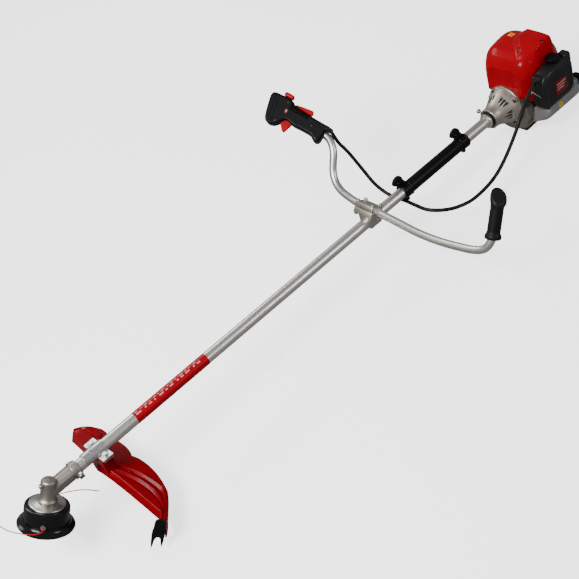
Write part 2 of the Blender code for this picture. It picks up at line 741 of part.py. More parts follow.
def handlebar(assembly, bar):
    pipe = swept(smooth_route(BAR_ROUTE, BAR_STEP), BAR_RADIUS, BAR_SIDES, BAR_RADIUS - BAR_WALL)
    add("handlebar", pipe, "bare_aluminium", bar)
    # Cast clamp: the base sits on the shaft, the cap closes over the bar, four bolts hold them together.
    seat = block((-0.0185, -0.030, -0.0170), (0.0185, 0.030, -GAP), 0.003)
    saddle_block = block((-0.020, -0.019, -0.012), (0.020, 0.019, 0.030), 0.004)
    saddle = helper("bracket_saddle", saddle_block, assembly)
    saddle.location = (BAR_X, 0, 0)
    base = add("bar_bracket_base", seat, "cast_aluminium", bar)
    join(base, saddle)
    above = block((-0.06, -0.06, -GAP), (0.06, 0.06, 0.06))
    cut(base, helper("saddle_top_cut", above, bar))
    lid = block((-0.0185, -0.030, GAP), (0.0185, 0.030, 0.0140), 0.004)
    cap = add("bar_bracket_cap", lid, "cast_aluminium", bar)
    for body, name in ((base, "base"), (cap, "cap")):
        cut(body, helper(f"bar_cut_{name}", bar_space(), bar))
    tube_room = rod(TUBE_RADIUS + GAP, -0.05, 0.05, 28, "X")
    cut(base, helper("bracket_tube_cut", tube_room, assembly, (BAR_X, 0, 0)))
    number = 0
    for x in (-0.0135, 0.0135):
        for y in (-0.0245, 0.0245):
            number += 1
            for body, name in ((base, "base"), (cap, "cap")):
                hole = rod(0.0027, -0.05, 0.05, 8)
                cut(body, helper(f"bolt_cut_{name}_{number}", hole, bar, (x, y, 0)))
            bolt(f"bar_bolt_{number}", bar, (x, y, 0.0140 + GAP), (0, 0, 0), 0.0024, 0.028, 0.0046, 0.0042)
    grip_low, grip_high = 0.0500, 0.1500
    grip = [
        (0, grip_low),
        (0.0160, grip_low),
        (0.0188, grip_low + 0.004),
        (0.0185, grip_low + 0.009),
        (0.0152, grip_low + 0.015),
        (0.0148, grip_high - 0.032),
        (0.0156, grip_high - 0.022),
        (0.0180, grip_high - 0.015),
        (0.0188, grip_high - 0.007),
        (0.0172, grip_high - 0.001),
        (0.0120, grip_high + 0.001),
        (0, grip_high + 0.001),
    ]
    foot = Vector(BAR_ROUTE[1])
    along = (Vector(BAR_ROUTE[0]) - foot).normalized()
    obj = add("plain_grip", turned(grip, 24), "black_rubber", bar)
    stand = along.to_track_quat("Z", "Y").to_matrix().to_4x4()
    obj.matrix_local = Matrix.Translation(foot - along * 0.075) @ stand
    cut(obj, helper("bar_cut_grip", bar_space(), bar))


# ---------------------------------------------------------------- engine


def arch(x, half_width, low, top, power=5.0, count=14):
    """A closed ring across the shaft: flat below, and a rounded arch above."""
    points = []
    for i in range(count + 1):
        turn = math.pi * i / count
        y = half_width * math.copysign(abs(math.cos(turn)) ** (2 / power), math.cos(turn))
        z = low + (top - low) * math.sin(turn) ** (2 / power)
        points.append((x, y, z))
    return points


def engine(assembly):
    housing = [
        (0.0225, HOUSING_FRONT),
        (0.0275, HOUSING_FRONT),
        (0.0280, 1.4640),
        (0.0310, 1.4760),
        (0.0370, 1.4860),
        (0.0430, 1.4980),
        (0.0480, 1.5110),
        (0.0495, 1.5190),
        (0.0540, 1.5195),
        (0.0540, HOUSING_REAR),
        (0.0450, HOUSING_REAR),
        (0.0440, 1.5150),
        (0.0360, 1.4960),
        (0.0360, 1.4890),
        (0.0200, 1.4865),
        (TUBE_RADIUS + GAP, 1.4865),
        (TUBE_RADIUS + GAP, 1.4700),
        (0.0225, 1.4700),
    ]
    clutch_housing = add("clutch_housing", turned(housing, 32, "X"), "cast_aluminium", assembly)
    bush = ring(TUBE_RADIUS + GAP, 0.0225 - GAP, 1.4440, 1.4697, 28, "X")
    add("vibration_bush", bush, "black_rubber", assembly)
    knob = turned([(0, 0), (0.003, 0), (0.003, 0.012), (0.0058, 0.012), (0.0058, 0.018), (0, 0.018)], 12)
    lean = (-LOCK_TURN, 0, 0)
    hole = helper("lock_cut", rod(0.0033, 0.010, 0.04, 10), assembly, (LOCK_X, 0, 0), lean)
    cut(clutch_housing, hole)
    place = (LOCK_X, LOCK_DEPTH * math.sin(LOCK_TURN), LOCK_DEPTH * math.cos(LOCK_TURN))
    add("tube_lock_knob", knob, "zinc_steel", assembly, place, lean)

    drum = [
        (DRIVE_RADIUS + GAP, 1.4905),
        (0.0335, 1.4905),
        (0.0335, 1.5130),
        (0.0310, 1.5130),
        (0.0310, 1.4938),
        (DRIVE_RADIUS + GAP, 1.4938),
    ]
    add("clutch_drum", turned(drum, 28, "X"), "dark_steel", assembly)
    rotor = add("clutch_rotor", ring(0.0064, 0.0290, 1.4955, 1.5120, 28, "X"), "dark_steel", assembly)
    for side in (-1, 1):
        low, high = sorted((side * 0.010, side * 0.050))
        slot = block((1.48, -0.0010, low), (1.52, 0.0010, high))
        cut(rotor, helper(f"shoe_slot_{side + 1}", slot, assembly))
    crank = [
        (0, 1.4955),
        (0.0060, 1.4955),
        (0.0060, 1.5155),
        (0.0080, 1.5155),
        (0.0080, 1.6030),
        (0.0550, 1.6040),
        (0.0550, 1.6180),
        (0.0060, 1.6220),
        (0.0060, 1.6380),
        (0, 1.6380),
    ]
    add("crankshaft_flywheel", turned(crank, 28, "X"), "gear_steel", assembly)

    walls = block((CRANKCASE_FRONT, -0.048, -0.0715), (CRANKCASE_REAR, 0.048, CRANKCASE_TOP), 0.008)
    case = add("crankcase", walls, "dark_steel", assembly)
    fan_case = helper("fan_case", rod(0.0660, CRANKCASE_FRONT, 1.5500, 28, "X"), assembly, (0, 0, -0.012))
    above = block((1.50, -0.09, 0.004), (1.56, 0.09, 0.10))
    cut(fan_case, helper("fan_case_cut", above, assembly))
    join(case, fan_case)
    cut(case, helper("crank_cut", rod(0.0086, 1.50, 1.62, 20, "X"), assembly))
    room_low = (CRANKCASE_FRONT + 0.008, -0.042, -0.0655)
    room_high = (CRANKCASE_REAR + 0.01, 0.042, CRANKCASE_TOP - 0.006)
    cut(case, helper("crankcase_room", block(room_low, room_high, 0.006, 1), assembly))
    fins = [(0, CRANKCASE_TOP + GAP)]
    for i in range(4):
        low = CRANKCASE_TOP + GAP + 0.0135 * i
        fins += [(0.026, low), (0.026, low + 0.004), (0.019, low + 0.005), (0.019, low + 0.0125)]
    fins += [(0.019, low + 0.0135), (0.019, low + 0.0180), (0, low + 0.0180)]
    add("cylinder", turned(fins, 16), "cast_aluminium", assembly, (1.574, 0, 0))

    sections = [
        (1.5290, 0.0570, 0.029, 0.106),
        (1.5350, 0.0640, 0.024, 0.120),
        (1.5450, 0.0710, 0.018, 0.132),
        (1.5600, 0.0780, 0.013, 0.140),
        (1.5850, 0.0805, 0.009, 0.144),
        (1.6250, COVER_HALF_WIDTH, 0.009, COVER_TOP),
        (1.6500, 0.0775, 0.010, 0.138),
        (COVER_REAR, 0.0680, 0.014, 0.120),
    ]
    cover = add("top_cover", loft([arch(*section) for section in sections]), "red_gloss", assembly)
    cover.location.y = COVER_SHIFT
    hump = block((1.572, -0.070, 0.100), (1.648, 0.014, COVER_TOP + 0.009), 0.012)
    join(cover, helper("cover_hump", hump, assembly))
    wall = 0.003
    inner = []
    for x, half_width, low, top in sections:
        near = COVER_REAR + 0.02 if x == COVER_REAR else max(x, sections[0][0] + wall)
        inner.append(arch(near, half_width - wall, low - 0.03, top - wall))
    cut(cover, helper("cover_hollow", loft(inner), assembly, (0, COVER_SHIFT, 0)))
    notch = block((1.50, -0.0500, -0.10), (1.5345, 0.0500, CRANKCASE_TOP + 0.002))
    cut(cover, helper("cover_notch", notch, assembly))

    add("muffler", block((1.572, 0.0835, -0.018), (1.645, 0.095, 0.044), 0.005), "dark_steel", assembly)
    starter = [
        (0.0650, 1.6010),
        (0.0680, 1.6010),
        (0.0680, 1.6270),
        (0.0600, 1.7060),
        (0.0420, 1.7160),
        (0.0100, 1.7160),
        (0.0100, 1.7125),
        (0.0410, 1.7125),
        (0.0570, 1.7040),
        (0.0650, 1.6270),
    ]
    recoil = add("starter_housing", turned(starter, 28, "X"), "black_plastic", assembly)
    rope_hole = rod(0.0030, 0.030, 0.09, 8, "Y")
    cut(recoil, helper("rope_hole_cut", rope_hole, assembly, (1.700, 0, 0.024)))
    grip = [(0, 0), (0.0050, 0), (0.0065, 0.006), (0.0092, 0.012), (0.0092, 0.018), (0, 0.021)]
    handle = turned(grip, 12, "Y")
    bmesh.ops.scale(handle, verts=handle.verts, vec=(1.0, 1.0, 2.0))
    add("starter_grip", handle, "black_plastic", assembly, (1.700, 0.0600, 0.024))
    fuel_system(assembly)


def fuel_system(assembly):
    """Carburettor, air cleaner, choke knob, tank, cap and the base under the tank."""
    body = block((1.5560, -0.1060, 0.0300), (1.6000, -0.0840, 0.0960), 0.003, 1)
    add("carburettor", body, "cast_aluminium", assembly)
    cover = block((1.5340, -0.1220, 0.0000), (1.6600, -0.0840, AIR_TOP), 0.018, 3)
    air = add("air_cleaner_cover", cover, "black_plastic", assembly)
    room = block((1.5200, -0.1190, 0.0030), (1.6570, -0.0700, AIR_TOP - 0.003), 0.014, 2)
    cut(air, helper("air_hollow", room, assembly))
    knob = turned([(0, 0), (0.0165, 0), (0.0165, 0.0080), (0.0145, 0.0110), (0, 0.0110)], 20)
    add("choke_knob", knob, "black_plastic", assembly, (1.6080, -0.0960, AIR_TOP + GAP))
    section = [
        (-0.056, -0.0060),
        (-0.100, -0.0060),
        (-0.108, -0.0120),
        (-0.110, -0.0240),
        (-0.107, -0.0340),
        (-0.098, -0.0415),
        (-0.080, -0.0500),
        (-0.060, -0.0590),
        (-0.040, -0.0700),
        (-0.016, -0.0780),
        (0.010, TANK_BOTTOM),
        (0.044, TANK_BOTTOM),
        (0.052, -0.0750),
        (0.052, -0.0600),
    ]
    rings = []
    middle_y, middle_z = -0.082, -0.028
    stations = [
        (1.5500, 0.72),
        (1.5540, 0.90),
        (1.5620, 1.0),
        (1.6780, 1.0),
        (1.6860, 0.92),
        (1.6900, 0.76),
    ]
    for x, size in stations:
        ring_points = []
        for y, z in section:
            near_y = y if y > -0.057 else middle_y + (y - middle_y) * size
            near_z = z if z > -0.007 else middle_z + (z - middle_z) * size
            ring_points.append((x, near_y, near_z))
        rings.append(ring_points)
    tank = add("fuel_tank", loft(rings), "milky_tank", assembly)
    room = rod(0.0690, 1.50, 1.72, 32, "X")
    cut(tank, helper("tank_room", room, assembly))
    front_room = block((1.50, -0.0560, -0.10), (1.6003, 0.09, 0.01))
    cut(tank, helper("tank_front_room", front_room, assembly))
    neck = rod(0.0130, 1.670, 1.6960, 16, "X")
    join(tank, helper("tank_neck", neck, assembly, CAP_PLACE))
    cap = [
        (0, 1.6963),
        (0.0190, 1.6963),
        (0.0190, 1.7100),
        (0.0150, 1.7130),
        (0, 1.7130),
    ]
    add("fuel_cap", turned(cap, 20, "X"), "black_plastic", assembly, CAP_PLACE)
    rise = (BASE_REAR - BASE_FRONT) * math.tan(LIE_PITCH)
    rear = BASE_HEIGHT + rise
    side_view = [
        (BASE_FRONT, BASE_HEIGHT),
        (BASE_REAR, rear),
        (BASE_REAR, TANK_BOTTOM - GAP),
        (CRANKCASE_REAR, TANK_BOTTOM - GAP),
        (CRANKCASE_REAR, -0.0718),
        (BASE_FRONT, -0.0718),
    ]
    skid = prism([(x, -z) for x, z in side_view], -0.030, 0.030)
    bmesh.ops.rotate(skid, verts=skid.verts, matrix=Matrix.Rotation(-math.pi / 2, 3, "X"))
    add("base_guard", skid, "black_plastic", assembly)


# ---------------------------------------------------------------- throttle handle and its cable


HANDLE_START = (-0.0030, 0.1860, 0.1345)
HANDLE_ALONG = Vector((-0.236, 0.838, 0.491))
HANDLE_PALM = Vector((0.872, -0.039, 0.486))
HANDLE_DEPTH = 0.0185

# The shells' outline: along the handle from its bar end, and towards the palm.
HANDLE_OUTLINE = [
    (-0.0040, -0.0150),
    (-0.0020, -0.0270),
    (0.0050, -0.0310),
    (0.0160, -0.0280),
    (0.0220, -0.0205),
    (0.0480, -0.0205),
    (0.0760, -0.0225),
    (0.0980, -0.0170),
    (0.1080, -0.0330),
    (0.1180, -0.0440),
    (0.1300, -0.0480),
    (0.1410, -0.0450),
    (0.1480, -0.0360),
    (0.1620, 0.0140),
    (0.1600, 0.0250),
    (0.1520, 0.0300),
    (0.1040, 0.0320),
    (0.0960, 0.0220),
    (0.0430, 0.0200),
    (0.0120, 0.0200),
    (-0.0040, 0.0195),
]


def half_shell(side):
    """One half of the handle, from its split plane out to a rounded face."""
    low, high = sorted((side * GAP / 2, side * HANDLE_DEPTH))
    made = prism(HANDLE_OUTLINE, low, high)
    outside = side * HANDLE_DEPTH
    rim = [edge for edge in made.edges if all(abs(vert.co.z - outside) < 1e-6 for vert in edge.verts)]
    bmesh.ops.bevel(
        made, geom=rim, offset=0.0070, segments=2, profile=0.5, affect="EDGES", clamp_overlap=True
    )
    return made


def throttle_handle(assembly, bar):
    frame = empty("handle_frame", bar)
    along = HANDLE_ALONG.normalized()
    palm = (HANDLE_PALM - along * HANDLE_PALM.dot(along)).normalized()
    axes = Matrix((along, palm, along.cross(palm))).transposed()
    lean_back = Matrix.Rotation(-BAR_LEAN, 3, "Y")
    frame.matrix_local = Matrix.Translation(HANDLE_START) @ (lean_back @ axes).to_4x4()
    for side, name in ((-1, "near"), (1, "far")):
        shell = add(f"throttle_shell_{name}", half_shell(side), "black_plastic", frame)
        cut(shell, helper(f"handle_bar_cut_{name}", bar_space(), bar))
        pocket = block((0.0765, -0.0600, -0.0068), (0.1200, -0.0050, 0.0068))
        cut(shell, helper(f"trigger_pocket_{name}", pocket, frame))
        slot = block((0.0420, 0.0112, -0.0065), (0.1000, 0.0500, 0.0065))
        cut(shell, helper(f"lockout_slot_{name}", slot, frame))
    pull = [(0.1120, -0.0150), (0.0800, -0.0150), (0.0790, -0.0200), (0.0860, -0.0440), (0.0895, -0.0480)]
    pull += [(0.0950, -0.0450), (0.1020, -0.0360), (0.1120, -0.0260)]
    pivot = Vector((0.1060, -0.0190, 0))
    shape = prism([(u - pivot.x, v - pivot.y) for u, v in pull], -0.0062, 0.0062)
    add("throttle_trigger", shape, "red_gloss", frame, pivot)
    lever = [(0.0970, 0.0200), (0.0970, 0.0260), (0.0900, 0.0290), (0.0520, 0.0350), (0.0480, 0.0345)]
    lever += [(0.0450, 0.0200)]
    pivot = Vector((0.0930, 0.0225, 0))
    shape = prism([(u - pivot.x, v - pivot.y) for u, v in lever], -0.0060, 0.0060)
    add("lockout_lever", shape, "red_gloss", frame, pivot)
    switch = block((0.1080, 0.0325, -0.0090), (0.1350, 0.0440, 0.0090), 0.003)
    add("stop_switch", switch, "red_gloss", frame)


# The cable's route in the shaft's frame, from the handle under the shaft and up to the carburettor.
CABLE_ROUTE = [
    (1.0794, 0.1738, 0.1604),
    (1.0811, 0.1679, 0.1570),
    (1.0873, 0.1574, 0.1200),
    (1.0926, 0.1405, 0.0980),
    (1.1043, 0.1135, 0.0400),
    (1.1080, 0.0888, 0.0040),
    (1.1120, 0.0644, -0.0160),
    (1.1156, 0.0410, -0.0260),
    (1.1200, 0.0026, -0.0280),
    (1.1200, -0.0360, -0.0290),
    (1.1225, -0.0675, -0.0310),
    (1.1336, -0.0877, -0.0340),
    (1.1565, -0.1107, -0.0380),
    (1.1869, -0.1240, -0.0430),
    (1.2237, -0.1280, -0.0491),
    (1.2762, -0.1250, -0.0516),
    (1.3245, -0.1190, -0.0476),
    (1.3654, -0.1130, -0.0338),
    (1.4062, -0.1070, -0.0115),
    (1.4390, -0.1030, 0.0130),
    (1.4619, -0.1010, 0.0368),
    (1.4875, -0.0990, 0.0587),
    (1.5180, -0.0965, 0.0780),
    (1.5420, -0.0945, 0.0850),
    (1.5552, -0.0945, 0.0860),
]
CABLE_RADIUS = 0.0048


def throttle_cable(assembly):
    cord("throttle_cable", smooth_route(CABLE_ROUTE, 0.0130), CABLE_RADIUS, "black_rubber", assembly, 2)


def lowest_and_middle(graph):
    """The floor height and the middle of the box round all the rigid pieces; cords are left out."""
    low, high = Vector((9, 9, 9)), Vector((-9, -9, -9))
    for obj in bpy.context.scene.objects:
        if obj.type != "MESH" or obj.hide_render:
            continue
        evaluated = obj.evaluated_get(graph)
        mesh = evaluated.to_mesh()
        for vertex in mesh.vertices:
            place = evaluated.matrix_world @ vertex.co
            low = Vector(map(min, low, place))
            high = Vector(map(max, high, place))
        evaluated.to_mesh_clear()
    return Vector(((low.x + high.x) / 2, (low.y + high.y) / 2, low.z))


def main():
    clear_scene()
    assembly = empty("assembly", None, (0, 0, 0), (0, LIE_PITCH, 0))
    spindle = empty("spindle_frame", assembly, (0, 0, 0), (0, SHAFT_RISE, 0))
    bar = empty("bar_frame", assembly, (BAR_X, 0, BAR_HEIGHT), (0, BAR_LEAN, 0))
    gear_case(assembly, spindle)
    drive_line(assembly, spindle)
    trimmer_head(spindle)
    guard(assembly, spindle)
    shaft_fittings(assembly)
    handlebar(assembly, bar)
    throttle_handle(assembly, bar)
    throttle_cable(assembly)
    engine(assembly)
    bpy.context.view_layer.update()
    assembly.location = -lowest_and_middle(bpy.context.evaluated_depsgraph_get())
    bpy.context.view_layer.update()


main()
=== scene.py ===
import json
import math

import bmesh
import bpy
from mathutils import Matrix, Vector
from mathutils.geometry import interpolate_bezier


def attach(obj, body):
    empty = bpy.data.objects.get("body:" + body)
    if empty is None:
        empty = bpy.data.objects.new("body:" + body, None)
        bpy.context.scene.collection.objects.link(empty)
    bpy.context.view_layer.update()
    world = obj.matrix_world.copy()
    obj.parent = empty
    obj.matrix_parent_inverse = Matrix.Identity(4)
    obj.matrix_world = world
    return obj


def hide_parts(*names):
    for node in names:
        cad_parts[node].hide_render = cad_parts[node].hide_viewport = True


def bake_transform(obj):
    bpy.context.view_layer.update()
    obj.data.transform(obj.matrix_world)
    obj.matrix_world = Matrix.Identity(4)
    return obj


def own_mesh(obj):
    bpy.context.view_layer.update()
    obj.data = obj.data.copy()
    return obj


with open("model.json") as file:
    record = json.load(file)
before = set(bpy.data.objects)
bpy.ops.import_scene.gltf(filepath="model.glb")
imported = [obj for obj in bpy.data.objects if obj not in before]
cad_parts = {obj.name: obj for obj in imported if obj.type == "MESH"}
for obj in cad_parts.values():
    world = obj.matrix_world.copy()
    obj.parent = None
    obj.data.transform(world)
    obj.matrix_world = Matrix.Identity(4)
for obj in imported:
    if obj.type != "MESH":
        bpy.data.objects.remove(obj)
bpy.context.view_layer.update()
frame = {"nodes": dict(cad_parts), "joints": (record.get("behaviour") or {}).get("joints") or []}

# --- places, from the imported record

JOINTS = {joint["name"]: joint for joint in frame["joints"]}
ORIGIN = Vector(JOINTS["head_spin"]["pos_m"])
ALONG = Vector(JOINTS["drive_spin"]["axis"])
ACROSS = Vector((0, 1, 0))


def at(x, y, z):
    return Matrix.Translation((x, y, z))


def from_axes(x, y, z, origin=(0, 0, 0)):
    return Matrix.Translation(origin) @ Matrix((x, y, z)).transposed().to_4x4()


def turned_by(degrees, axis):
    return Matrix.Rotation(math.radians(degrees), 4, axis)


SHAFT = from_axes(ALONG, ACROSS, ALONG.cross(ACROSS), ORIGIN)
SPINDLE = SHAFT @ turned_by(30, "Y")
BAR = SHAFT @ at(1.003, 0, 0.0332) @ turned_by(32, "Y")

HANDLE_U = Vector((-0.236, 0.838, 0.491)).normalized()
HANDLE_V = Vector((0.872, -0.039, 0.486))
HANDLE_V = (HANDLE_V - HANDLE_U * HANDLE_V.dot(HANDLE_U)).normalized()
HANDLE_TURN = from_axes(HANDLE_U, HANDLE_V, HANDLE_U.cross(HANDLE_V))
HANDLE = BAR @ at(-0.003, 0.186, 0.1345) @ turned_by(-32, "Y") @ HANDLE_TURN

SHAFT_PITCH = math.atan2(-ALONG.z, ALONG.x)
BASE_LOW = 0.096
TUBE = 0.014
GAP = 0.0003

# --- camera

FOCAL_RATIO = 2.10708117
CAMERA_RIGHT = Vector((0.70159817, -0.66624626, -0.25273687))
CAMERA_UP = Vector((0.59427424, 0.35137137, 0.7234475))
CAMERA_BACK = Vector((-0.39318969, -0.65776446, 0.6424545))
CAMERA_PLACE = Vector((-0.3983137, -1.87178209, 1.82453653))

camera_data = bpy.data.cameras.new("camera")
camera = bpy.data.objects.new("camera", camera_data)
bpy.context.scene.collection.objects.link(camera)
camera.matrix_world = SHAFT @ from_axes(CAMERA_RIGHT, CAMERA_UP, CAMERA_BACK, CAMERA_PLACE)
camera_data.sensor_width = 36.0
camera_data.lens = camera_data.sensor_width * FOCAL_RATIO
bpy.context.scene.camera = camera

# --- materials


class Nodes:
    """A short way to wire up a material."""

    def __init__(self, name):
        self.material = bpy.data.materials.new(name)
        self.material.use_nodes = True
        self.tree = self.material.node_tree
        self.shader = self.tree.nodes["Principled BSDF"]
        self.place = self.add("ShaderNodeTexCoord").outputs["Object"]

    def add(self, kind, **settings):
        node = self.tree.nodes.new(kind)
        for key, value in settings.items():
            setattr(node, key, value)
        return node

    def link(self, source, target):
        self.tree.links.new(source, target)

    def stretched(self, scale):
        mapping = self.add("ShaderNodeMapping")
        mapping.inputs["Scale"].default_value = scale
        self.link(self.place, mapping.inputs["Vector"])
        return mapping.outputs["Vector"]

    def noise(self, scale, detail=4.0, rough=0.55, vector=None):
        node = self.add("ShaderNodeTexNoise")
        node.inputs["Scale"].default_value = scale
        node.inputs["Detail"].default_value = detail
        node.inputs["Roughness"].default_value = rough
        self.link(vector or self.place, node.inputs["Vector"])
        return node.outputs["Fac"]

    def ranged(self, value, low, high, from_low=0.3, from_high=0.7):
        node = self.add("ShaderNodeMapRange")
        for name, number in (("From Min", from_low), ("From Max", from_high), ("To Min", low),
                             ("To Max", high)):
            node.inputs[name].default_value = number
        self.link(value, node.inputs["Value"])
        return node.outputs["Result"]

    def ramp(self, value, stops):
        node = self.add("ShaderNodeValToRGB")
        ramp = node.color_ramp
        while len(ramp.elements) < len(stops):
            ramp.elements.new(0.5)
        for element, (position, colour) in zip(ramp.elements, stops):
            element.position = position
            element.color = (*colour, 1)
        self.link(value, node.inputs["Fac"])
        return node.outputs["Color"]

    def bump(self, height, distance, strength=1.0, under=None):
        node = self.add("ShaderNodeBump")
        node.inputs["Distance"].default_value = distance
        node.inputs["Strength"].default_value = strength
        self.link(height, node.inputs["Height"])
        if under:
            self.link(under, node.inputs["Normal"])
        return node.outputs["Normal"]


def shaded(colour, share):
    return tuple(min(1.0, c * share) for c in colour)


def finish(name, colour, rough, metallic=0.0, vary=0.12, rough_vary=0.06, grain=900, depth=0.00002,
           stretch=None, wear=None, **sockets):
    """A procedural finish: blotchy colour and gloss, a fine grain, and wear where given."""
    n = Nodes(name)
    blotch = n.noise(23, 5)
    speck = n.noise(160, 3)
    stops = [(0.32, shaded(colour, 1 - vary)), (0.5, colour), (0.7, shaded(colour, 1 + vary))]
    tint = n.ramp(blotch, stops)
    if wear:
        mix = n.add("ShaderNodeMix", data_type="RGBA")
        mask = n.ranged(n.noise(55, 6, 0.7), 0.0, 0.55, 0.62, 0.78)
        n.link(mask, mix.inputs["Factor"])
        n.link(tint, mix.inputs["A"])
        mix.inputs["B"].default_value = (*wear, 1)
        tint = mix.outputs["Result"]
    n.link(tint, n.shader.inputs["Base Color"])
    n.link(n.ranged(speck, rough - rough_vary, rough + rough_vary), n.shader.inputs["Roughness"])
    n.shader.inputs["Metallic"].default_value = metallic
    vector = n.stretched(stretch) if stretch else None
    fine = n.bump(n.noise(grain, 3, 0.6, vector), depth)
    wide = n.bump(blotch, depth * 3, 0.35, fine)
    n.link(wide, n.shader.inputs["Normal"])
    for key, value in sockets.items():
        n.shader.inputs[key.replace("_", " ")].default_value = value
    return n.material


M = {
    "bare_aluminium": finish("satin_silver_tube", (0.72, 0.695, 0.65), 0.38, 1.0, 0.03, 0.035, 420,
                             0.000004),
    "cast_aluminium": finish("cast_aluminium_blasted", (0.52, 0.475, 0.415), 0.46, 1.0, 0.1, 0.05, 1500,
                             0.00003, wear=(0.34, 0.31, 0.27)),
    "case_aluminium": finish("gear_case_painted", (0.33, 0.3, 0.265), 0.48, 1.0, 0.1, 0.05, 1500, 0.00003,
                             wear=(0.23, 0.21, 0.185)),
    "polished": finish("polished_rim", (0.58, 0.56, 0.53), 0.3, 1.0, 0.05, 0.05, 900, 0.000004),
    "zinc_steel": finish("bright_zinc", (0.52, 0.525, 0.52), 0.36, 1.0, 0.1, 0.06, 600, 0.000008,
                         wear=(0.4, 0.39, 0.36)),
    "dark_steel": finish("blackened_steel", (0.06, 0.058, 0.058), 0.4, 0.9, 0.25, 0.06, 1100, 0.00003,
                         wear=(0.13, 0.115, 0.1)),
    "gear_steel": finish("machined_steel", (0.4, 0.4, 0.41), 0.26, 1.0, 0.15, 0.06, 500, 0.00001,
                         wear=(0.22, 0.19, 0.14)),
    "black_plastic": finish("satin_black_plastic", (0.0035, 0.0035, 0.0038), 0.36, 0.0, 0.3, 0.05, 2200,
                            0.00002, wear=(0.0055, 0.0055, 0.0055), Specular_IOR_Level=0.13),
    "filter_black": finish("air_filter_black", (0.012, 0.0115, 0.0118), 0.34, 0.0, 0.3, 0.05, 2200, 0.00002,
                           wear=(0.016, 0.015, 0.015), Specular_IOR_Level=0.22),
    "head_black": finish("glossy_black_head", (0.005, 0.005, 0.0054), 0.19, 0.0, 0.3, 0.04, 700, 0.00001,
                         Specular_IOR_Level=0.3),
    "black_rubber": finish("black_rubber_matt", (0.008, 0.0078, 0.0076), 0.46, 0.0, 0.3, 0.06, 1900,
                           0.00005, wear=(0.011, 0.01, 0.01), Specular_IOR_Level=0.16),
    "conduit": finish("black_conduit", (0.007, 0.007, 0.0072), 0.36, 0.0, 0.3, 0.06, 900, 0.00002,
                      Specular_IOR_Level=0.16),
    "red_gloss": finish("red_gloss_paint", (0.34, 0.0001, 0.0065), 0.2, 0.0, 0.07, 0.04, 200, 0.000004,
                        Coat_Weight=0.06, Coat_Roughness=0.04, Specular_IOR_Level=0.08),
    "red_guard": finish("deep_red_guard", (0.2, 0.0001, 0.004), 0.3, 0.0, 0.1, 0.05, 320, 0.000006,
                        Coat_Weight=0.03, Coat_Roughness=0.15, Specular_IOR_Level=0.09),
    "red_switch": finish("red_switch_plastic", (0.42, 0.0002, 0.006), 0.32, 0.0, 0.1, 0.05, 1500, 0.00001,
                         Specular_IOR_Level=0.13),
    "red_line": finish("red_monofilament", (0.55, 0.004, 0.008), 0.28, 0.0, 0.12, 0.06, 800, 0.00001,
                       Subsurface_Weight=0.2, Subsurface_Scale=0.001),
    "label_red": finish("label_film_red", (0.31, 0.0003, 0.007), 0.25, 0.0, 0.06, 0.05, 300, 0.000008,
                        Specular_IOR_Level=0.2),
    "badge_red": finish("badge_film_red", (0.12, 0.0005, 0.004), 0.36, 0.0, 0.08, 0.05, 300, 0.000008,
                        Specular_IOR_Level=0.35),
    "label_pale": finish("label_print_pale", (0.6, 0.32, 0.29), 0.45, 0.0, 0.06, 0.05, 900, 0.00001),
    "orange": finish("orange_sticker", (0.8, 0.33, 0.03), 0.42, 0.0, 0.08, 0.05, 900, 0.00001),
    "yellow": finish("yellow_sticker", (0.66, 0.43, 0.03), 0.42, 0.0, 0.08, 0.05, 900, 0.00001),
    "dark_mark": finish("dark_print", (0.03, 0.02, 0.02), 0.5, 0.0, 0.1, 0.05, 900, 0.00001),
    "tie": finish("pale_wire_tie", (0.5, 0.46, 0.38), 0.35, 0.0, 0.1, 0.05, 600, 0.00001),
    "milky_tank": finish("milky_tank_plastic", (0.235, 0.225, 0.235), 0.34, 0.0, 0.06, 0.05, 500, 0.00002,
                         Subsurface_Weight=0.35, Subsurface_Scale=0.01, Transmission_Weight=0.1),
}

# --- mesh helpers

SLOTS = {
    "case_aluminium": "cast_aluminium", "polished": "cast_aluminium", "head_black": "black_plastic",
    "filter_black": "black_plastic", "red_switch": "red_gloss", "label_red": "red_gloss",
    "badge_red": "red_gloss", "label_pale": "red_gloss", "orange": "red_gloss", "dark_mark": "red_gloss",
    "yellow": "milky_tank", "conduit": "black_rubber", "tie": None,
}


def settled(obj, place, material, node, body, slot):
    """Give a new object its place, finish and body, and hide the CAD node that it stands for."""
    obj.data.materials.append(M[material])
    bpy.context.scene.collection.objects.link(obj)
    obj.matrix_world = place
    slot = slot or SLOTS.get(material, material)
    if body:
        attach(obj, body)
    if node:
        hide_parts(node)
    return obj


def piece(name, source, place, material, node=None, body="frame", slot=None, smooth=38):
    """A new piece from a bmesh, laid out in a local frame and riding on a body."""
    bmesh.ops.recalc_face_normals(source, faces=source.faces)
    mesh = bpy.data.meshes.new(name)
    source.to_mesh(mesh)
    source.free()
    mesh.shade_smooth()
    mesh.set_sharp_from_angle(angle=math.radians(smooth))
    obj = settled(bpy.data.objects.new(name, mesh), place, material, node, body, slot)
    shading = obj.modifiers.new("shading", "WEIGHTED_NORMAL")
    shading.keep_sharp = True
    return obj


def merged(*sources):
    """Several bmeshes as one."""
    first = sources[0]
    for other in sources[1:]:
        mesh = bpy.data.meshes.new("part")
        other.to_mesh(mesh)
        other.free()
        first.from_mesh(mesh)
        bpy.data.meshes.remove(mesh)
    return first


def pointing(direction):
    """A turn that lays Z along a direction."""
    return direction.to_track_quat("Z", "Y").to_matrix().to_4x4()


def moved(source, matrix):
    bmesh.ops.transform(source, matrix=matrix, verts=source.verts)
    return source


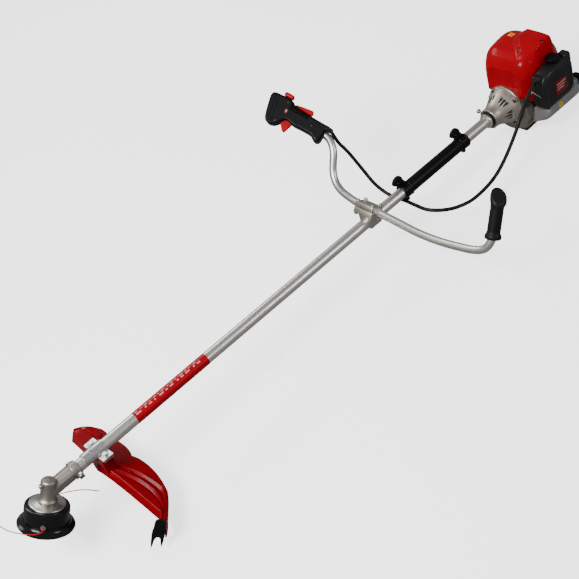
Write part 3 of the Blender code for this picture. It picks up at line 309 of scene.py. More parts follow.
def combined(base, others, operation):
    """The base bmesh after an exact Boolean with each of the others."""
    made = []
    for source in [base, *others]:
        bmesh.ops.recalc_face_normals(source, faces=source.faces)
        mesh = bpy.data.meshes.new("step")
        source.to_mesh(mesh)
        source.free()
        obj = bpy.data.objects.new("step", mesh)
        bpy.context.scene.collection.objects.link(obj)
        made.append(obj)
    for other in made[1:]:
        step = made[0].modifiers.new("step", "BOOLEAN")
        step.object = other
        step.operation = operation
        step.solver = "EXACT"
    graph = bpy.context.evaluated_depsgraph_get()
    result = bmesh.new()
    result.from_object(made[0], graph)
    for obj in made:
        bpy.data.meshes.remove(obj.data)
    return result


def cut(base, others):
    return combined(base, others, "DIFFERENCE")


def joined(base, others):
    return combined(base, others, "UNION")


def bevel(source, edges, width, segments):
    bmesh.ops.bevel(source, geom=edges, offset=width, segments=segments, profile=0.5, affect="EDGES",
                    clamp_overlap=True)


def rounded(source, width, segments=2, angle=32):
    """Round every edge that is sharper than the angle."""
    sharp = [
        edge for edge in source.edges
        if len(edge.link_faces) == 2 and edge.calc_face_angle(0) > math.radians(angle)
    ]
    bevel(source, sharp, width, segments)
    return source


def turned(profile, steps=64, axis="Z"):
    made = bmesh.new()
    rows = []
    for radius, height in profile:
        if radius < 1e-9:
            rows.append([made.verts.new((0, 0, height))] * steps)
            continue
        turns = [math.tau * i / steps for i in range(steps)]
        rows.append([made.verts.new((radius * math.cos(t), radius * math.sin(t), height)) for t in turns])
    pairs = list(zip(rows, rows[1:]))
    if profile[0][0] > 1e-9 or profile[-1][0] > 1e-9:
        pairs.append((rows[-1], rows[0]))
    for lower, upper in pairs:
        for i in range(steps):
            j = (i + 1) % steps
            corners = dict.fromkeys((lower[i], lower[j], upper[j], upper[i]))
            if len(corners) > 2:
                made.faces.new(list(corners))
    if axis == "X":
        bmesh.ops.rotate(made, verts=made.verts, matrix=Matrix.Rotation(math.pi / 2, 3, "Y"))
    if axis == "Y":
        bmesh.ops.rotate(made, verts=made.verts, matrix=Matrix.Rotation(-math.pi / 2, 3, "X"))
    return made


def rod(radius, start, end, steps=32, axis="Z"):
    return turned([(0, start), (radius, start), (radius, end), (0, end)], steps, axis)


def prism(outline, low, high):
    made = bmesh.new()
    face = made.faces.new([made.verts.new((x, y, low)) for x, y in outline])
    grown = bmesh.ops.extrude_face_region(made, geom=[face])
    tops = [item for item in grown["geom"] if isinstance(item, bmesh.types.BMVert)]
    bmesh.ops.translate(made, verts=tops, vec=(0, 0, high - low))
    return made


def block(low, high, rounding=0.0, segments=3):
    low, high = Vector(low), Vector(high)
    made = bmesh.new()
    bmesh.ops.create_cube(made, size=1.0)
    bmesh.ops.scale(made, verts=made.verts, vec=high - low)
    bmesh.ops.translate(made, verts=made.verts, vec=(high + low) / 2)
    if rounding:
        bevel(made, made.edges[:], rounding, segments)
    return made


def skin(rows, closed=True, ends=True):
    """Faces over rows of points; each row is a ring when closed."""
    made = bmesh.new()
    rows = [[made.verts.new(point) for point in row] for row in rows]
    count = len(rows[0])
    for lower, upper in zip(rows, rows[1:]):
        for i in range(count if closed else count - 1):
            j = (i + 1) % count
            made.faces.new((lower[i], lower[j], upper[j], upper[i]))
    if ends and closed:
        made.faces.new(rows[0])
        made.faces.new(rows[-1][::-1])
    return made


def smooth_route(points, spacing):
    """Points at an even spacing along one smooth curve; the same sum as in part.py."""
    knots = [Vector(point) for point in points]
    slopes = []
    for i in range(len(knots)):
        before = knots[max(i - 1, 0)]
        after = knots[min(i + 1, len(knots) - 1)]
        slopes.append((after - before).normalized())
    fine = [knots[0]]
    for i in range(len(knots) - 1):
        reach = (knots[i + 1] - knots[i]).length / 3
        handles = (knots[i] + slopes[i] * reach, knots[i + 1] - slopes[i + 1] * reach)
        fine += interpolate_bezier(knots[i], *handles, knots[i + 1], 25)[1:]
    lengths = [0.0]
    for a, b in zip(fine, fine[1:]):
        lengths.append(lengths[-1] + (b - a).length)
    count = max(2, round(lengths[-1] / spacing))
    route, k = [], 0
    for i in range(count + 1):
        target = lengths[-1] * i / count
        while k < len(fine) - 2 and lengths[k + 1] < target:
            k += 1
        share = (target - lengths[k]) / (lengths[k + 1] - lengths[k])
        route.append(fine[k].lerp(fine[k + 1], share))
    return route


def swept(route, radius, sides=24):
    """A round bar along a route."""
    normal = (route[1] - route[0]).orthogonal().normalized()
    rows = []
    for i, point in enumerate(route):
        along = (route[min(i + 1, len(route) - 1)] - route[max(i - 1, 0)]).normalized()
        normal = (normal - along * normal.dot(along)).normalized()
        side = along.cross(normal)
        turns = [math.tau * k / sides for k in range(sides)]
        rows.append([point + radius * (normal * math.cos(t) + side * math.sin(t)) for t in turns])
    return skin(rows)


def curve_piece(name, route, radius, place, material, node=None, body="frame"):
    """A round cord or wire as a curve."""
    data = bpy.data.curves.new(name, "CURVE")
    data.dimensions = "3D"
    data.bevel_depth = radius
    data.bevel_resolution = 4
    data.use_fill_caps = True
    spline = data.splines.new("POLY")
    spline.points.add(len(route) - 1)
    for point, knot in zip(spline.points, route):
        point.co = (*knot, 1.0)
    spline.use_smooth = True
    return settled(bpy.data.objects.new(name, data), place, material, node, body, None)


def softened(outline, rounds=2):
    """Cut the corners of a closed outline, again and again."""
    for _ in range(rounds):
        made = []
        for i, (x, y) in enumerate(outline):
            u, v = outline[(i + 1) % len(outline)]
            made.append((x * 0.75 + u * 0.25, y * 0.75 + v * 0.25))
            made.append((x * 0.25 + u * 0.75, y * 0.25 + v * 0.75))
        outline = made
    return outline


def between(low, high, x):
    """A smooth step from 0 at low to 1 at high."""
    t = min(1.0, max(0.0, (x - low) / (high - low)))
    return t * t * (3 - 2 * t)


def hexagon(radius, low, high):
    """A hexagon head with its corners turned off."""
    return turned([(0, low), (radius, low), (radius, high - 0.0004), (radius * 0.88, high), (0, high)], 6)


def bolt(name, place, node=None, head=0.0046, height=0.0042, shank=0.0024, length=0.022, washer=0.0066):
    """A flanged hexagon bolt with a thread and a pressed washer; its head stands on the local XY plane."""
    parts = [hexagon(head, 0.0006, height)]
    parts.append(turned([(0, 0), (washer, 0), (washer, 0.0006), (washer - 0.0006, 0.0011), (0, 0.0011)],
                        40))
    thread = [(0, -length)]
    pitch = 0.0008
    count = int((length - 0.001) / pitch)
    for i in range(count):
        low = -length + 0.0005 + pitch * i
        thread += [(shank - 0.0003, low), (shank, low + pitch / 2)]
    thread += [(shank, 0.0), (0, 0.0)]
    parts.append(turned(thread, 20))
    piece(name, merged(*parts), place, "zinc_steel", node=node, smooth=30)


def screw(name, place, radius=0.0035, height=0.0018, material="dark_steel"):
    """A pan head with a cross recess."""
    head = turned([(0, -0.004), (radius * 0.55, -0.004), (radius * 0.55, 0), (radius, 0),
                   (radius * 0.98, height * 0.5), (radius * 0.75, height * 0.9), (radius * 0.4, height),
                   (0, height)], 28)
    slots = [block((-radius * 0.55, -radius * 0.11, height * 0.25),
                   (radius * 0.55, radius * 0.11, height * 2)),
             block((-radius * 0.11, -radius * 0.55, height * 0.25),
                   (radius * 0.11, radius * 0.55, height * 2))]
    piece(name, cut(head, slots), place, material, smooth=30)


# --- cords

CABLE_ROUTE = [(1.0794, 0.1738, 0.1604), (1.0811, 0.1679, 0.157), (1.0873, 0.1574, 0.12),
               (1.0926, 0.1405, 0.098), (1.1043, 0.1135, 0.04), (1.108, 0.0888, 0.004),
               (1.112, 0.0644, -0.016), (1.1156, 0.041, -0.026), (1.12, 0.0026, -0.028),
               (1.12, -0.036, -0.029), (1.1225, -0.0675, -0.031), (1.1336, -0.0877, -0.034),
               (1.1565, -0.1107, -0.038), (1.1869, -0.124, -0.043), (1.2237, -0.128, -0.0491),
               (1.2762, -0.125, -0.0516), (1.3245, -0.119, -0.0476), (1.3654, -0.113, -0.0338),
               (1.4062, -0.107, -0.0115), (1.439, -0.103, 0.013), (1.4619, -0.101, 0.0368),
               (1.4875, -0.099, 0.0587), (1.518, -0.0965, 0.078), (1.542, -0.0945, 0.085),
               (1.5552, -0.0945, 0.086)]
CABLE_RADIUS = 0.0048
EYELET_HEIGHT = -0.056
LINE_TAILS = {
    "line_tail_a": [
        (-0.0335, -0.04, EYELET_HEIGHT), (-0.044, -0.052, EYELET_HEIGHT + 0.0004),
        (-0.064, -0.05, EYELET_HEIGHT + 0.001), (-0.083, -0.035, EYELET_HEIGHT + 0.0012),
        (-0.099, -0.012, EYELET_HEIGHT + 0.0012), (-0.106, 0.015, EYELET_HEIGHT + 0.0012),
    ],
    "line_tail_b": [
        (0.0335, 0.04, EYELET_HEIGHT), (0.044, 0.05, EYELET_HEIGHT + 0.0004),
        (0.07, 0.056, EYELET_HEIGHT + 0.001), (0.102, 0.052, EYELET_HEIGHT + 0.0012),
        (0.128, 0.042, EYELET_HEIGHT + 0.0012), (0.15, 0.023, EYELET_HEIGHT + 0.0012),
    ],
}
LINE_RADIUS = 0.0012
EYELET_TURNS = {"a": 230, "b": 50}


def cords():
    route = smooth_route(CABLE_ROUTE, 0.013)
    cable = curve_piece("throttle_conduit", route, CABLE_RADIUS, SHAFT, "conduit", node="throttle_cable")
    for name, knots in LINE_TAILS.items():
        route = smooth_route(knots, 0.006)
        tail = curve_piece(name.replace("tail", "end"), route, LINE_RADIUS, SPINDLE, "red_line",
                           node=name, body="head")


cords()

# --- CAD nodes that stay

KEPT = {
    "spindle_bearing": "dark_steel", "clutch_drum": "dark_steel",
    "clutch_rotor": "dark_steel", "crankcase": "case_aluminium", "muffler": "dark_steel",
    "pinion_gear": "gear_steel", "crown_gear": "gear_steel", "drive_shaft": "gear_steel",
    "output_spindle": "gear_steel", "crankshaft_flywheel": "gear_steel", "cylinder": "cast_aluminium",
    "carburettor": "cast_aluminium", "spool": "black_plastic", "shaft_bush": "black_rubber",
    "vibration_bush": "black_rubber", "bar_bracket_base": "cast_aluminium",
    "bar_bracket_cap": "cast_aluminium",
    "line_eyelet_a": "zinc_steel", "line_eyelet_b": "zinc_steel", "tube_lock_knob": "zinc_steel",
    "starter_grip": "black_plastic", "shaft_label": "label_red",
}


def keep_nodes():
    """Give each CAD node that stays its finish, and smooth its round faces."""
    for name, finish_name in KEPT.items():
        node = frame["nodes"][name]
        node.data.materials.clear()
        node.data.materials.append(M[finish_name])
        node.data.shade_smooth()
        weld = node.modifiers.new("weld", "WELD")
        weld.merge_threshold = 0.00001
        split = node.modifiers.new("edges", "EDGE_SPLIT")
        split.split_angle = math.radians(35)


keep_nodes()

# --- gear case and head


def gear_case():
    upright = turned([
        (0, -0.02), (0.021, -0.02), (0.0212, -0.0195), (0.0212, -0.0165), (0.0206, -0.0155),
        (0.018, -0.0125), (0.0172, -0.01), (0.017, -0.006), (0.017, 0.024), (0.0174, 0.0246),
        (0.0174, 0.0262), (0.0168, 0.028), (0.015, 0.0305), (0.012, 0.0319), (0.006, 0.0323), (0, 0.0323),
    ], 72)
    to_shaft = turned_by(-30, "Y")
    arm = turned([(0, 0.004), (0.017, 0.004), (0.017, 0.03), (0.0174, 0.06), (0.0176, 0.082), (0, 0.082)],
                 72, "X")
    collar = turned([(0, 0.0635), (0.0188, 0.0635), (0.02, 0.065), (0.02, 0.08), (0.0188, 0.0815),
                     (0, 0.0815)], 72, "X")
    ear = block((0.067, -0.0295, -0.008), (0.079, 0.0295, 0.003), 0.0022, 3)
    shapes = [moved(shape, to_shaft) for shape in (arm, collar, ear)]
    shapes.append(moved(rod(0.0056, -0.0215, 0.0, 32, "X"), at(0, 0, 0.02)))
    for angle in (-60, 60):
        rib = block((0.016, -0.0016, 0.0135), (0.064, 0.0016, 0.0195), 0.0012, 2)
        shapes.append(moved(rib, to_shaft @ turned_by(angle, "X")))
    case = joined(upright, shapes)
    hollows = [
        rod(0.013, -0.03, 0.0265, 48),
        moved(rod(0.011, -0.003, 0.053, 32, "X"), to_shaft),
        moved(rod(TUBE + GAP, 0.0517, 0.092, 48, "X"), to_shaft),
        moved(block((0.058, -0.034, -0.0013), (0.088, -0.012, 0.0013)), to_shaft),
    ]
    case = cut(case, hollows)
    piece("gear_case_casting", case, SPINDLE, "case_aluminium", node="gear_case", smooth=40)
    ring_place = SPINDLE @ at(0, 0, 0.0323)
    circlip = turned([(0.012, -0.0006), (0.0138, -0.0006), (0.0138, 0.0003), (0.012, 0.0003)], 48)
    piece("case_top_ring", circlip, SPINDLE @ at(0, 0, 0.0316), "case_aluminium")
    screw("case_top_dimple", ring_place, 0.0034, 0.0008, "case_aluminium")
    plug = SPINDLE @ at(-0.0215, 0, 0.02) @ turned_by(-90, "Y")
    screw("grease_plug", plug, 0.0044, 0.0022, "zinc_steel")
    bolt("case_clamp_bolt", SHAFT @ at(0.073, -0.0252, 0.0033), "gear_clamp_bolt", 0.0042, 0.0036,
         0.0022, 0.0105, 0.0048)
    bolt("case_pin_bolt", SHAFT @ at(0.073, 0.0245, 0.0033), None, 0.0042, 0.0036, 0.0022, 0.006, 0.0048)


def trimmer_head():
    dish = [(0.0053, -0.0206), (0.0196, -0.0206), (0.0204, -0.0209), (0.0262, -0.0222), (0.033, -0.0238),
            (0.0342, -0.0237), (0.0384, -0.0244), (0.0394, -0.025), (0.0397, -0.026), (0.0397, -0.0276),
            (0.0392, -0.0282), (0.0053, -0.0282)]
    piece("cup_plate", turned(dish, 128), SPINDLE, "polished", node="adapter_dish", body="head", smooth=50)
    shell = [
        (0.0053, -0.0285), (0.043, -0.0285), (0.0462, -0.0289), (0.0478, -0.0299), (0.0486, -0.0318),
        (0.0488, -0.0345), (0.0488, -0.0455), (0.0483, -0.0462), (0.0483, -0.0476), (0.0488, -0.0484),
        (0.0488, -0.07), (0.046, -0.07), (0.046, -0.032), (0.0095, -0.0312), (0.0095, -0.0405),
        (0.0053, -0.0405),
    ]
    body = turned(shell, 96)
    cuts = []
    for turn in EYELET_TURNS.values():
        cuts.append(moved(rod(0.0043, 0.0425, 0.053, 24, "X"),
                          turned_by(turn, "Z") @ at(0, 0, EYELET_HEIGHT)))
    piece("head_drum", cut(body, cuts), SPINDLE, "head_black", node="head_housing", body="head", smooth=32)
    for name, turn in EYELET_TURNS.items():
        place = SPINDLE @ turned_by(turn, "Z") @ at(0.0483, 0, EYELET_HEIGHT)
        frame_plate = cut(block((-0.0008, -0.0085, -0.007), (0.0012, 0.0085, 0.007), 0.001, 2),
                          [rod(0.005, -0.01, 0.01, 24, "X")])
        piece(f"eyelet_plate_{name}", frame_plate, place, "head_black", body="head")
    cover = [
        (0.0217, -0.079), (0.055, -0.079), (0.059, -0.0786), (0.0611, -0.0774), (0.0619, -0.0755),
        (0.0621, -0.0738), (0.0612, -0.0718), (0.0585, -0.07), (0.055, -0.068), (0.0525, -0.0655),
        (0.0514, -0.063), (0.0508, -0.0618), (0.0492, -0.0618), (0.0492, -0.0703), (0.0448, -0.0703),
        (0.043, -0.076), (0.0217, -0.076),
    ]
    rim = turned(cover, 96)
    notches = []
    for k in range(6):
        notch = moved(rod(0.0045, -0.09, -0.06, 24), turned_by(60 * k + 12, "Z") @ at(0.0648, 0, 0))
        notches.append(notch)
    piece("head_rim", cut(rim, notches), SPINDLE, "head_black", node="head_cover", body="head", smooth=32)
    knob = [(0.0048, -0.0715), (0.0048, -0.0575), (0.0093, -0.0575), (0.0093, -0.0712),
            (0.0205, -0.0712), (0.0205, -0.0895), (0.0199, -0.092), (0.0184, -0.094), (0.0155, -0.0955),
            (0.011, -0.096), (0, -0.096), (0, -0.0715)]
    grooves = []
    for k in range(12):
        groove = rod(0.0016, -0.0935, -0.076, 12)
        grooves.append(moved(groove, turned_by(30 * k, "Z") @ at(0.0209, 0, 0)))
    body = cut(turned(knob[::-1], 72), grooves)
    piece("tap_knob", body, SPINDLE, "black_plastic", node="bump_knob", body="knob", smooth=32)
    wound = [(0.0245, -0.0665)]
    for k in range(6):
        low = -0.066 + 0.0026 * k
        wound += [(0.0335, low), (0.0348, low + 0.0013)]
    wound += [(0.0335, -0.0504), (0.0245, -0.0504)]
    piece("wound_line", turned(wound, 48), SPINDLE, "red_line", body="line_spool")
    coils, steps, coil_radius = 5, 120, 0.0112
    spring_route = []
    for i in range(steps + 1):
        turn = math.tau * coils * i / steps
        spring_route.append(Vector((coil_radius * math.cos(turn), coil_radius * math.sin(turn),
                                    -0.0609 + 0.0287 * i / steps)))
    spring = piece("tap_coil", swept(spring_route, 0.0006, 8), SPINDLE, "zinc_steel",
                   node="tap_spring", body="head")
    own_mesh(spring)


# --- guard

GUARD_HALF = math.radians(46)


def guard_places(turn):
    """The guard's section at one turn about the spindle: as in part.py."""
    share = abs(turn) / GUARD_HALF
    inner = (0.122 + 0.058 * share**1.3) / math.cos(turn)
    outer = 0.212 + 0.042 * min(1, share * 1.6) ** 0.8
    if turn > 0:
        outer += 0.024 * max(0, share / 0.55 - 0.82) ** 2
    if turn > math.radians(24):
        lobe = (turn - math.radians(24)) / math.radians(22)
        outer += 0.022 * between(0.0, 0.45, lobe) - 0.026 * max(0.0, lobe - 0.62) ** 2 / 0.38**2
    inner = min(inner, outer - 0.016)
    fall = 0.036 if turn > 0 else 0.058
    top_in = 0.037 - fall * share**1.6
    top_out = 0.032 - (fall - (0.014 if turn > 0 else 0.0)) * share**1.6
    skirt = -0.066 + 0.046 * max(0, turn - math.radians(21)) / (GUARD_HALF - math.radians(21))
    return inner, outer, top_in, top_out, skirt


def guard_relief(s, share):
    """The height of the moulded ribs and valleys, with s from 0 at the inner edge to 1 at the outer."""
    height = 0.0
    for start, first, last in ((0.3, 0.14, 0.64), (0.1, 0.24, 0.9)):
        centre = start + (share - first) / (last - first) * (0.98 - start)
        shown = between(first - 0.02, first + 0.1, share)
        shown = shown * between(0.0, 0.06, s) * (1 - between(0.94, 1.0, s))
        height += 0.0036 * math.exp(-(((s - centre) / 0.034) ** 2)) * shown
        height -= 0.0042 * math.exp(-(((s - centre + 0.11) / 0.07) ** 2)) * shown
    return height


def guard_rows():
    rows = []
    count, across = 140, 48
    for i in range(count + 1):
        turn = GUARD_HALF * (2 * i / count - 1)
        inner, outer, top_in, top_out, skirt = guard_places(turn)
        share = abs(turn) / GUARD_HALF
        row = [(inner, top_in - 0.02), (inner, top_in - 0.008), (inner + 0.0004, top_in - 0.003),
               (inner + 0.0016, top_in - 0.0006)]
        for k in range(across + 1):
            s = k / across
            r = inner + 0.003 + (outer - 0.0085 - inner - 0.003) * s
            row.append((r, top_in + (top_out - top_in) * s + guard_relief(s, share)))
        row += [(outer - 0.0055, top_out - 0.0005), (outer - 0.0022, top_out - 0.0018),
                (outer - 0.0002, top_out - 0.005), (outer + 0.001, top_out - 0.01),
                (outer + 0.0035, skirt + 0.006), (outer + 0.0044, skirt + 0.004),
                (outer + 0.0044, skirt), (outer + 0.0008, skirt), (outer - 0.003, top_out - 0.008)]
        for k in range(across, -1, -2):
            s = k / across
            r = inner + 0.004 + (outer - 0.011 - inner) * s
            row.append((r, top_in - 0.0032 + (top_out - top_in) * s + guard_relief(s, share)))
        row += [(inner + 0.003, top_in - 0.008), (inner + 0.003, top_in - 0.02)]
        rows.append([(r * math.cos(turn), r * math.sin(turn), h) for r, h in row])
    return rows


def guard():
    to_spindle = turned_by(-30, "Y")
    boss = moved(block((0.1225, -0.031, -0.05), (0.152, 0.031, -0.004), 0.004, 3), to_spindle)
    bore = moved(rod(TUBE + 0.0007, 0.05, 0.3, 48, "X"), to_spindle)
    piece("guard_boss", cut(boss, [bore]), SPINDLE, "red_guard", smooth=42)
    piece("debris_guard", skin(guard_rows()), SPINDLE, "red_guard", node="guard", smooth=42)
    nub_share = 0.42
    for turn, name in ((-15, "a"), (15, "b")):
        angle = math.radians(turn)
        inner, outer, top_in, top_out, _ = guard_places(angle)
        r = inner + (outer - inner) * nub_share
        h = top_in + (top_out - top_in) * nub_share - 0.003
        place = SPINDLE @ at(r * math.cos(angle), r * math.sin(angle), h)
        nub = turned([(0, 0), (0.0052, 0), (0.0046, 0.0016), (0.003, 0.0024), (0, 0.0026)], 32)
        piece(f"guard_nub_{name}", nub, place, "red_guard")
    for side, name in ((-1, "left"), (1, "right")):
        place = SHAFT @ at(0.138, side * 0.0265, 0.0015)
        bolt(f"guard_hex_{name}", place, f"guard_bolt_{name}", 0.0064, 0.0052, 0.0025, 0.022, 0.0085)
    strap = [(TUBE + GAP, 0.0985), (0.0164, 0.0985), (0.0168, 0.0989), (0.0168, 0.118), (0.0182, 0.1192),
             (0.0182, 0.1232), (0.0168, 0.1244), (0.0168, 0.1531), (0.0164, 0.1535), (TUBE + GAP, 0.1535)]
    steps = 48
    rows = []
    for i in range(steps + 1):
        turn = math.pi * i / steps
        rows.append([(x, radius * math.cos(turn), radius * math.sin(turn)) for radius, x in strap])
    ears = []
    for side in (-1, 1):
        low = min(side * 0.015, side * 0.039)
        ears.append(rounded(block((0.124, low, -0.003), (0.1525, low + 0.024, 0.0012)), 0.001, 3))
        edge = min(side * 0.0375, side * 0.039)
        ears.append(rounded(block((0.126, edge, -0.006), (0.1505, edge + 0.0015, 0.001)), 0.0006, 2))
    band = merged(skin(rows), *ears)
    piece("guard_strap", band, SHAFT, "zinc_steel", node="guard_bracket", smooth=32)
    turn = -GUARD_HALF - math.radians(0.6)
    outline = [(-0.011, 0.01), (0.014, 0.01), (0.0142, -0.006), (0.0128, -0.02), (0.0096, -0.036),
               (0.0074, -0.028), (0.006, -0.016), (0.002, -0.0125), (-0.003, -0.0135), (-0.0068, -0.02),
               (-0.009, -0.032), (-0.0124, -0.0445), (-0.014, -0.028), (-0.0142, -0.012), (-0.0135, 0.002)]
    outwards = Vector((math.cos(turn), math.sin(turn), 0))
    up = Vector((0, 0, 1))
    place = outwards * 0.24 + Vector((0, 0, -0.054))
    blade_place = SPINDLE @ from_axes(outwards, up, outwards.cross(up), place)
    holder = prism(softened([(-0.01, 0.004), (0.015, 0.004), (0.015, 0.034), (-0.006, 0.034),
                             (-0.01, 0.024)], 1), 0.0023, 0.009)
    holder = merged(rounded(holder, 0.001, 2), moved(turned([(0, 0.0022), (0.0062, 0.0022), (0.0062, 0.008),
                    (0.0052, 0.0092), (0, 0.0092)], 32), at(-0.0045, 0.0125, 0)))
    piece("knife_holder", holder, blade_place, "black_plastic", slot="dark_steel")
    piece("line_knife", rounded(prism(outline, 0.0, 0.0022), 0.0004, 2), blade_place, "black_plastic",
          node="line_cutter", slot="dark_steel")
    screw("knife_screw", blade_place @ at(0.001, 0.004, 0.0022), 0.003, 0.0016)


# --- shaft fittings


HANGER_LENGTH = 0.026
LABEL_START = 0.2475


def hanger(name, front):
    """A moulded clamp ring with an eye above the shaft and a screw boss below, placed as in part.py."""
    rear = front + HANGER_LENGTH
    middle = (front + rear) / 2 - 0.004
    ring = [(0, front), (0.0186, front), (0.0195, front + 0.0009), (0.0195, front + 0.004),
            (0.019, front + 0.0046), (0.019, rear - 0.0046), (0.0195, rear - 0.004),
            (0.0195, rear - 0.0009), (0.0186, rear), (0, rear)]
    body = turned(ring, 72, "X")
    outline = [(-0.0085, 0.015), (0.014, 0.015)]
    steps, tab_radius = 32, 0.0165
    for i in range(steps + 1):
        turn = math.pi * i / steps
        outline.append((-0.015 + tab_radius * math.cos(turn), 0.0375 + tab_radius * math.sin(turn)))
    outline.append((-0.0085, 0.0178))
    tab = rounded(prism([(x + middle, -z) for x, z in outline], -0.0036, 0.0036), 0.001, 3)
    bmesh.ops.rotate(tab, verts=tab.verts, matrix=Matrix.Rotation(-math.pi / 2, 3, "X"))
    eye_place = at(middle - 0.015, 0, 0.038)
    rim = moved(turned([(0, -0.0044), (0.0076, -0.0044), (0.0082, -0.0038), (0.0082, 0.0038),
                        (0.0076, 0.0044), (0, 0.0044)], 48, "Y"), eye_place)
    boss = moved(turned([(0, -0.033), (0.0056, -0.033), (0.0062, -0.0322), (0.0062, -0.012),
                         (0, -0.012)], 32), at(middle + 0.008, 0.004, 0))
    body = joined(body, [tab, rim, boss])
    cuts = [moved(rod(0.0055, -0.01, 0.01, 40, "Y"), eye_place),
            rod(TUBE + GAP, front - 0.03, rear + 0.01, 64, "X"),
            block((front - 0.01, -0.0012, -0.04), (rear + 0.01, 0.0006, -0.01))]
    piece(f"{name}_clamp", cut(body, cuts), SHAFT, "black_plastic", node=name)
    place = SHAFT @ at(middle + 0.008, 0.004, -0.033) @ turned_by(180, "X")
    screw(f"{name}_screw", place, 0.0042, 0.0018)


def shaft_fittings():
    tube = turned([(0.0125, 0.052), (0.0137, 0.052), (TUBE, 0.0523), (TUBE, 1.4857), (0.0137, 1.486),
                   (0.0125, 1.486)], 96, "X")
    piece("long_tube", tube, SHAFT, "bare_aluminium", node="drive_tube")
    profile = [(TUBE + GAP, 1.142), (0.0168, 1.142), (0.0172, 1.1424)]
    for x in (1.147, 1.15, 1.319, 1.322):
        profile += [(0.0172, x), (0.0167, x + 0.0004), (0.0167, x + 0.0012), (0.0172, x + 0.0016)]
    profile += [(0.0172, 1.3296), (0.0168, 1.33), (TUBE + GAP, 1.33)]
    piece("foam_sleeve", turned(profile, 96, "X"), SHAFT, "black_plastic", node="shaft_sleeve",
          slot="black_rubber")
    hanger("hanger_lower", 1.1157)
    hanger("hanger_upper", 1.3303)
    marks = []
    for row_turn, half_turn, pattern in ((116, 6, (14, 5, 9, 4, 12, 6, 10, 5, 8, 12, 5, 9)),
                                         (94, 4, (6, 3, 8, 3, 5, 3, 7, 4, 6, 3, 9, 5, 3, 8))):
        x = LABEL_START
        for i, millimetres in enumerate(pattern):
            long = millimetres / 1000
            marks.append(patch(TUBE + 0.0006, x, x + long, row_turn, half_turn))
            x += long + (0.0065 if i % 3 else 0.011)
    piece("label_marks", merged(*marks), SHAFT, "label_pale")


def patch(radius, start, end, middle_turn, half_turn):
    """A thin raised patch on a round tube along X; the turn is from +Y towards +Z."""
    rows = []
    for k in range(7):
        turn = math.radians(middle_turn + half_turn * (2 * k / 6 - 1))
        row = []
        for x, r in ((start, radius), (start, radius + 0.0001), (end, radius + 0.0001), (end, radius)):
            row.append((x, r * math.cos(turn), r * math.sin(turn)))
        rows.append(row)
    return skin(rows)


# --- handlebar

BAR_ROUTE = [
    (0, -0.364, 0.14), (0, -0.37, 0.075), (0, -0.37, 0.046), (0, -0.36, 0.025), (0, -0.338, 0.0125),
    (0, -0.296, 0.004), (0, -0.23, -0.004), (0, -0.165, -0.006), (0, -0.118, -0.0035), (0, -0.054, 0.0),
    (0, 0.034, 0.003), (0, 0.068, 0.008), (0, 0.097, 0.0155), (0, 0.12, 0.03), (0, 0.134, 0.051),
    (0, 0.14, 0.076), (0.0005, 0.144, 0.095), (0.0012, 0.154, 0.113), (0.0008, 0.169, 0.1265),
    (-0.003, 0.186, 0.1345), (-0.014, 0.2065, 0.1417), (-0.037, 0.2485, 0.1562),
]


def handlebar():
    route = smooth_route(BAR_ROUTE, 0.006)
    piece("handlebar_tube", swept(route, 0.0095, 32), BAR, "bare_aluminium", node="handlebar", smooth=60)
    number = 0
    for x in (-0.0135, 0.0135):
        for y in (-0.0245, 0.0245):
            number += 1
            bolt(f"clamp_hex_{number}", BAR @ at(x, y, 0.0143), f"bar_bolt_{number}", 0.0046, 0.0044,
                 0.0024, 0.028, 0.0056)
            nut = BAR @ at(x, y, -0.0172) @ turned_by(180, "X")
            piece(f"clamp_nut_{number}", hexagon(0.0044, 0, 0.0034), nut, "zinc_steel", smooth=30)
    for y, name in ((-0.0302, "left"), (0.0302, "right")):
        bead = turned([(0.0096, y - 0.0012), (0.0112, y - 0.001), (0.0112, y + 0.001),
                       (0.0096, y + 0.0012)], 40, "Y")
        piece(f"clamp_lip_{name}", bead, BAR, "cast_aluminium")
    low, high = 0.05, 0.15
    profile = [(0, low), (0.016, low), (0.018, low + 0.0012), (0.0188, low + 0.004), (0.0188, low + 0.0065),
               (0.018, low + 0.01), (0.0158, low + 0.0138)]
    x = low + 0.016
    while x < high - 0.036:
        profile += [(0.0153, x), (0.0153, x + 0.0022), (0.0147, x + 0.0027), (0.0147, x + 0.0033)]
        x += 0.0038
    profile += [(0.0152, high - 0.03), (0.0158, high - 0.022), (0.0176, high - 0.0165),
                (0.0186, high - 0.011), (0.0188, high - 0.006), (0.018, high - 0.0015),
                (0.016, high + 0.0006), (0.012, high + 0.001), (0, high + 0.001)]
    foot = Vector(BAR_ROUTE[1])
    along = (Vector(BAR_ROUTE[0]) - foot).normalized()
    stand = pointing(along)
    place = BAR @ Matrix.Translation(foot - along * 0.075) @ stand
    body = turned(profile, 64)
    near = stand.to_3x3().inverted() @ Vector((-0.55, -0.84, 0))
    for vert in body.verts:
        share = between(high - 0.03, high - 0.004, vert.co.z)
        vert.co.z -= share * (0.85 * vert.co.xy.dot(near.xy) + 0.002)
    piece("rubber_grip", body, place, "black_rubber", node="plain_grip", smooth=50)


# --- throttle handle

HANDLE_OUTLINE = [
    (-0.004, -0.015), (-0.002, -0.027), (0.005, -0.031), (0.016, -0.028), (0.022, -0.0205),
    (0.048, -0.0205), (0.076, -0.0225), (0.098, -0.017), (0.108, -0.033), (0.118, -0.044),
    (0.13, -0.048), (0.141, -0.045), (0.148, -0.036), (0.162, 0.014), (0.16, 0.025),
    (0.152, 0.03), (0.104, 0.032), (0.096, 0.022), (0.043, 0.02), (0.012, 0.02), (-0.004, 0.0195),
]


